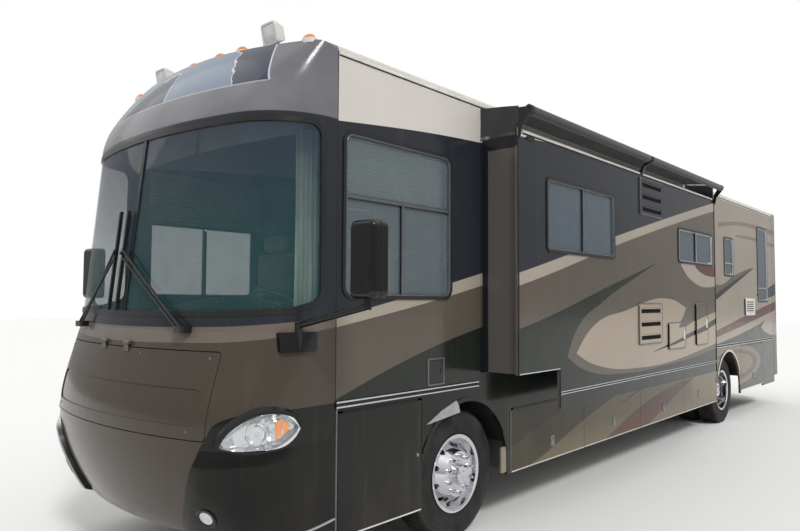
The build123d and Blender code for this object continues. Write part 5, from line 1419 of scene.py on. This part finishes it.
def curtain_piece():
    """Gathered curtain on a track: folds that open a little towards its hem."""
    x, lean, y0, y1, z0, z1, folds, depth = CURTAIN

    def at(down, along):
        turn = along * folds * 2 * math.pi
        wave = math.sin(turn + 0.4 * math.sin(3 * down)) + 0.25 * math.sin(2.3 * turn + 4 * down)
        return place(x + lean * along + wave * depth * (0.75 + 0.25 * down), between(y0, y1, along),
                     between(z1, z0, down))
    pile = Pile()
    rows = pile.grid(at, 14, folds * 12)
    piece = pile.built("curtain_left", "curtain", sharp=80)
    length = path_length(rows[7])


PLEATS = 22


def blinds():
    """Pleated blinds drawn over the upper panes of the cab's side windows."""
    for side, label in SIDES:
        def at(down, along):
            x = 1.195 + (0.006 if round(down * PLEATS * 2) % 2 else -0.006)
            return place(side * x, -1.39 + 1.20 * along, 3.01 - 0.45 * down)
        pile = Pile()
        rows = pile.grid(at, PLEATS * 2, 8)
        piece = pile.built(f"blind_{label}", "blind", sharp=30)
        drop = path_length([row[0] for row in rows])


def padded_block(pile, centre, half, corner=0.05, crown=0.02, steps=10):
    """Box with rounded edges whose faces swell by crown at their middles."""
    for axis in range(3):
        for sign in (-1, 1):
            def at(down, along):
                u, v = -1 + 2 * down, -1 + 2 * along
                cube = [0.0, 0.0, 0.0]
                cube[axis] = sign
                cube[(axis + 1) % 3] = u * sign
                cube[(axis + 2) % 3] = v
                point = Vector([c * h for c, h in zip(cube, half)])
                core = Vector([max(-h + corner, min(h - corner, p)) for p, h in zip(point, half)])
                off = point - core
                if off.length > 0:
                    point = core + off.normalized() * corner
                point[axis] += sign * crown * (1 - u * u) * (1 - v * v)
                return centre + point
            pile.grid(at, steps, steps)


# Cloth simulation of the pads: remesh, pressure, frames, and the most that a point may move
PUFF_VOXEL = 0.009
PUFF_PRESSURE = 4
PUFF_FRAMES = 15
PUFF_CAP = 0.008
CHANNEL_WIDTH = 0.008


def puffed(piece):
    """Swells a closed form as cloth under pressure."""
    scene = bpy.context.scene
    remesh = piece.modifiers.new("remesh", "REMESH")
    remesh.mode = "VOXEL"
    remesh.voxel_size = PUFF_VOXEL
    graph = bpy.context.evaluated_depsgraph_get()
    fine = bpy.data.meshes.new_from_object(piece.evaluated_get(graph))
    piece.modifiers.remove(remesh)
    piece.data = fine
    rest = [vertex.co.copy() for vertex in fine.vertices]
    cloth = piece.modifiers.new("cloth", "CLOTH")
    cloth.settings.use_pressure = True
    cloth.settings.uniform_pressure_force = PUFF_PRESSURE
    cloth.settings.effector_weights.gravity = 0
    for moment in range(1, PUFF_FRAMES + 1):
        scene.frame_set(moment)
    graph = bpy.context.evaluated_depsgraph_get()
    swollen = [vertex.co.copy() for vertex in piece.evaluated_get(graph).data.vertices]
    piece.modifiers.remove(cloth)
    scene.frame_set(1)
    for vertex, near, far in zip(fine.vertices, rest, swollen):
        move = far - near
        if move.length > PUFF_CAP:
            move *= PUFF_CAP / move.length
        vertex.co = near + move


def sewn(piece, axis, spacing, depth):
    """Presses sewn channels into a pad, spaced along an axis."""
    mesh = piece.data
    mesh.update()
    middle = sum((vertex.co for vertex in mesh.vertices), Vector()) / len(mesh.vertices)
    sunk = []
    for vertex in mesh.vertices:
        along = (vertex.co[axis] - middle[axis]) / spacing
        near = abs(along - math.floor(along) - 0.5) * spacing
        sunk.append(vertex.normal * (depth * math.exp(-(near / CHANNEL_WIDTH) ** 2)))
    for vertex, move in zip(mesh.vertices, sunk):
        vertex.co -= move
    mesh.shade_smooth()
    mesh.update()


def weld(piece):
    """Joins the faces of a piece along their shared edges."""
    work = bmesh.new()
    work.from_mesh(piece.data)
    bmesh.ops.remove_doubles(work, verts=work.verts, dist=0.0004)
    bmesh.ops.recalc_face_normals(work, faces=work.faces)
    work.to_mesh(piece.data)
    work.free()


# Pads of a seat. Columns: name, (station, height), half sizes, corner, crown, steps, fill,
# and the channels' axis, spacing and depth.
PADS = [
    ("cushion", (-0.645, 1.665), (0.245, 0.262, 0.088), 0.06, 0.004, 24, 0.7, (0, 0.125, 0.007)),
    ("back", (-0.420, 2.015), (0.240, 0.060, 0.295), 0.055, 0.004, 26, 0.7, (2, 0.15, 0.007)),
    ("head_rest", (-0.425, 2.390), (0.142, 0.048, 0.078), 0.045, 0.008, 12, 0.8,
     (0, 0.40, 0.004)),
]


def make_seats():
    """Cab seats: stitched cushions, backs, head rests and arms on their pedestals."""
    hard = Pile()
    for x, label in ((0.62, "driver"), (-0.62, "passenger")):
        padded_block(hard, place(x, -0.62, 1.425), Vector((0.17, 0.17, 0.135)), 0.02, 0.0, 4)
        for side in (-1, 1):
            padded_block(hard, place(x + side * 0.3, -0.62, 1.886), Vector((0.036, 0.19, 0.031)),
                         0.028, 0.0, 8)
            hard.tube([place(x + side * 0.25, -0.45, 1.886), place(x + side * 0.3, -0.45, 1.886)],
                      0.016)
        for part, spot, half, corner, crown, steps, fill, channels in PADS:
            pile = Pile()
            padded_block(pile, place(x, *spot), Vector(half), corner, crown, steps)
            piece = pile.built(f"seat_{part}_{label}", "leather", body=None, sharp=80)
            weld(piece)
            puffed(piece)
            sewn(piece, *channels)
            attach(piece, "coach")
    base = hard.built("seat_frames", "dash", sharp=50)
    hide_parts("front_seats")


DASH_VENTS = (-0.9, -0.3, 0.1)


def cab_detail():
    """Padded top and vents of the dashboard, and the sun valance."""
    panel, vents, valance = Pile(), Pile(), Pile()
    for x in DASH_VENTS:
        for n in range(5):
            padded_block(vents, place(x, -1.95 + n * 0.022, 1.7015), Vector((0.11, 0.007, 0.0022)),
                         0.002, 0.0, 2)
    padded_block(panel, place(-0.1, -1.60, 1.706), Vector((0.95, 0.09, 0.006)), 0.005, 0.0, 4)
    panel.built("dash_pad", "lining", sharp=50)
    vents.built("dash_vents", "hose", sharp=50)
    for x0, x1 in ((-1.10, -0.03), (0.03, 1.10)):
        def at(down, along):
            x = between(x0, x1, along)
            return place(x, -1.62 + 0.10 * (x / 1.1) ** 2 - 0.04 * down, 3.30 - 0.34 * down)
        valance.grid(at, 4, 24)
    piece = valance.built("sun_valance", "curtain", sharp=60)


TAIL = REAR_SEAM + 0.39
TAIL_LAMP_X = 1.08
# Lamps of a cluster: bottom and top, from the lowest up. The last one is white.
TAIL_LAMPS = ((1.004, 1.130), (1.137, 1.263), (1.270, 1.396))
TAIL_LENS = [(0, TAIL - 0.0012), (0, TAIL + 0.003), (0.004, TAIL + 0.006)]
TOP_LAMPS = (-1.02, -0.16, 0.0, 0.16, 1.02)


def rear_detail():
    """Lamp lenses, number plate and latches of the tail."""
    red, white = Pile(), Pile()
    for x in (-TAIL_LAMP_X, TAIL_LAMP_X):
        for (z0, z1), pile in zip(TAIL_LAMPS, (red, red, white)):
            pile.end_section((x - 0.055, x + 0.055, z0, z1), 0.008, TAIL_LENS)
    red.built("tail_lamp_lenses", "red")
    white.built("tail_lamp_whites", "lens_pale")
    tree, tops = tree_of("rear_cap"), Pile()
    for x in TOP_LAMPS:
        spot, normal = struck(tree, place(x, 12.0, 3.40), AHEAD)
        tops.rings([(spot + normal * height, Vector((0.055 * share, 0, 0)),
                     Vector((0, 0, 0.016 * share)))
                    for height, share in ((-0.002, 1.0), (0.014, 1.0), (0.022, 0.7))], 20)
    tops.built("rear_top_lamps", "red")
    number, latches = Pile(), Pile()
    number.end_section((-0.160, 0.160, 0.765, 0.925), 0.01, [(0, TAIL - 0.001), (0, TAIL + 0.004)])
    number.end_section((-0.150, 0.150, 0.775, 0.915), 0.01, [(0, TAIL + 0.004), (0, TAIL + 0.0055)])
    number.built("number_plate", "white_trim", "engine_door")
    for x in (-0.45, 0.45):
        latches.end_section((x - 0.05, x + 0.05, 0.80, 0.86), 0.012,
                            [(0, TAIL - 0.001), (0, TAIL + 0.008)])
    latches.built("engine_door_latches", "latch", "engine_door")


# Grab rail behind the entry door: (X, height) points
GRAB_STATION = 1.60
GRAB_RAIL = [(-1.28, 1.42), (-1.322, 1.44), (-1.332, 1.50), (-1.332, 2.00), (-1.332, 2.50),
             (-1.322, 2.56), (-1.28, 2.58)]


def entry_detail():
    """Grab rail beside the entry door, and the door's handle."""
    grab, pull = Pile(), Pile()
    grab.tube([place(x, GRAB_STATION, z) for x, z in GRAB_RAIL], 0.014, 12)
    grab.built("grab_rail", "bright")
    pull.block(-1, BODY_HALF, (1.405, 1.485, 1.52, 1.64), 0.006, 0.002, 0.01)
    pull.block(-1, BODY_HALF + 0.006, (1.415, 1.475, 1.575, 1.600), 0.016, 0.004, 0.004)
    pull.block(-1, BODY_HALF + 0.006, (1.435, 1.455, 1.535, 1.555), 0.004, 0.001, 0.004)
    pull.built("entry_handle", "black_trim", "entry_door")


FLOOR_REACH = 60
# Lights: name, strength, turn in degrees, spread in degrees
LIGHTS = (("key", 1.5, (44, 0, 66), 12), ("fill", 0.22, (55, 0, -70), 40))


def make_floor():
    """Pale floor round the vehicle."""
    mesh = bpy.data.meshes.new("floor")
    corners = ((-1, -1), (1, -1), (1, 1), (-1, 1))
    mesh.from_pydata([(x * FLOOR_REACH, y * FLOOR_REACH, 0) for x, y in corners], [], [(0, 1, 2, 3)])
    floor = bpy.data.objects.new("floor", mesh)
    bpy.context.scene.collection.objects.link(floor)
    material, g = new_material("floor_finish")
    g.surface(Base_Color=(0.80, 0.80, 0.79, 1.0), Roughness=0.9, Specular_IOR_Level=0.1)
    mesh.materials.append(material)


def make_light():
    """White surroundings, dimmer near the ground where they light the vehicle, and two suns."""
    world = bpy.data.worlds.new("studio")
    bpy.context.scene.world = world
    world.use_nodes = True
    g = Graph(world.node_tree)
    ray = g.add("LightPath")
    seen = g.math("MAXIMUM", ray.outputs["Is Camera Ray"], ray.outputs["Is Transmission Ray"])
    up = g.add("SeparateXYZ", Vector=g.add("TexCoord").outputs["Generated"]).outputs[2]
    strength = g.mix(seen, g.span(up, 0.0, 0.75, 0.36, 0.95), (1.0, 1.0, 1.0, 1.0))
    background = g.add("Background", Color=(1.0, 1.0, 1.0, 1.0), Strength=strength)
    g.add("OutputWorld", Surface=background.outputs[0])
    for name, power, turn, spread in LIGHTS:
        data = bpy.data.lights.new(name, "SUN")
        data.energy = power
        data.angle = math.radians(spread)
        lamp = bpy.data.objects.new(name, data)
        lamp.rotation_euler = [math.radians(v) for v in turn]
        bpy.context.scene.collection.objects.link(lamp)


window_trim()
belt_trim()
roof_rails()
slide_trim()
slide_panel_detail()
door_detail()
arch_trim()
small_doors()
head_lamps()
pods()
nose_detail()
roof_lamps()
brow_lamps()
wheel_detail()
make_tyres()
mirror_detail()
topper_cloth()
topper_flaps()
awning_roller()
curtain_piece()
blinds()
make_seats()
cab_detail()
rear_detail()
entry_detail()
make_camera()
make_floor()
make_light()
bpy.context.scene.view_settings.view_transform = "Standard"
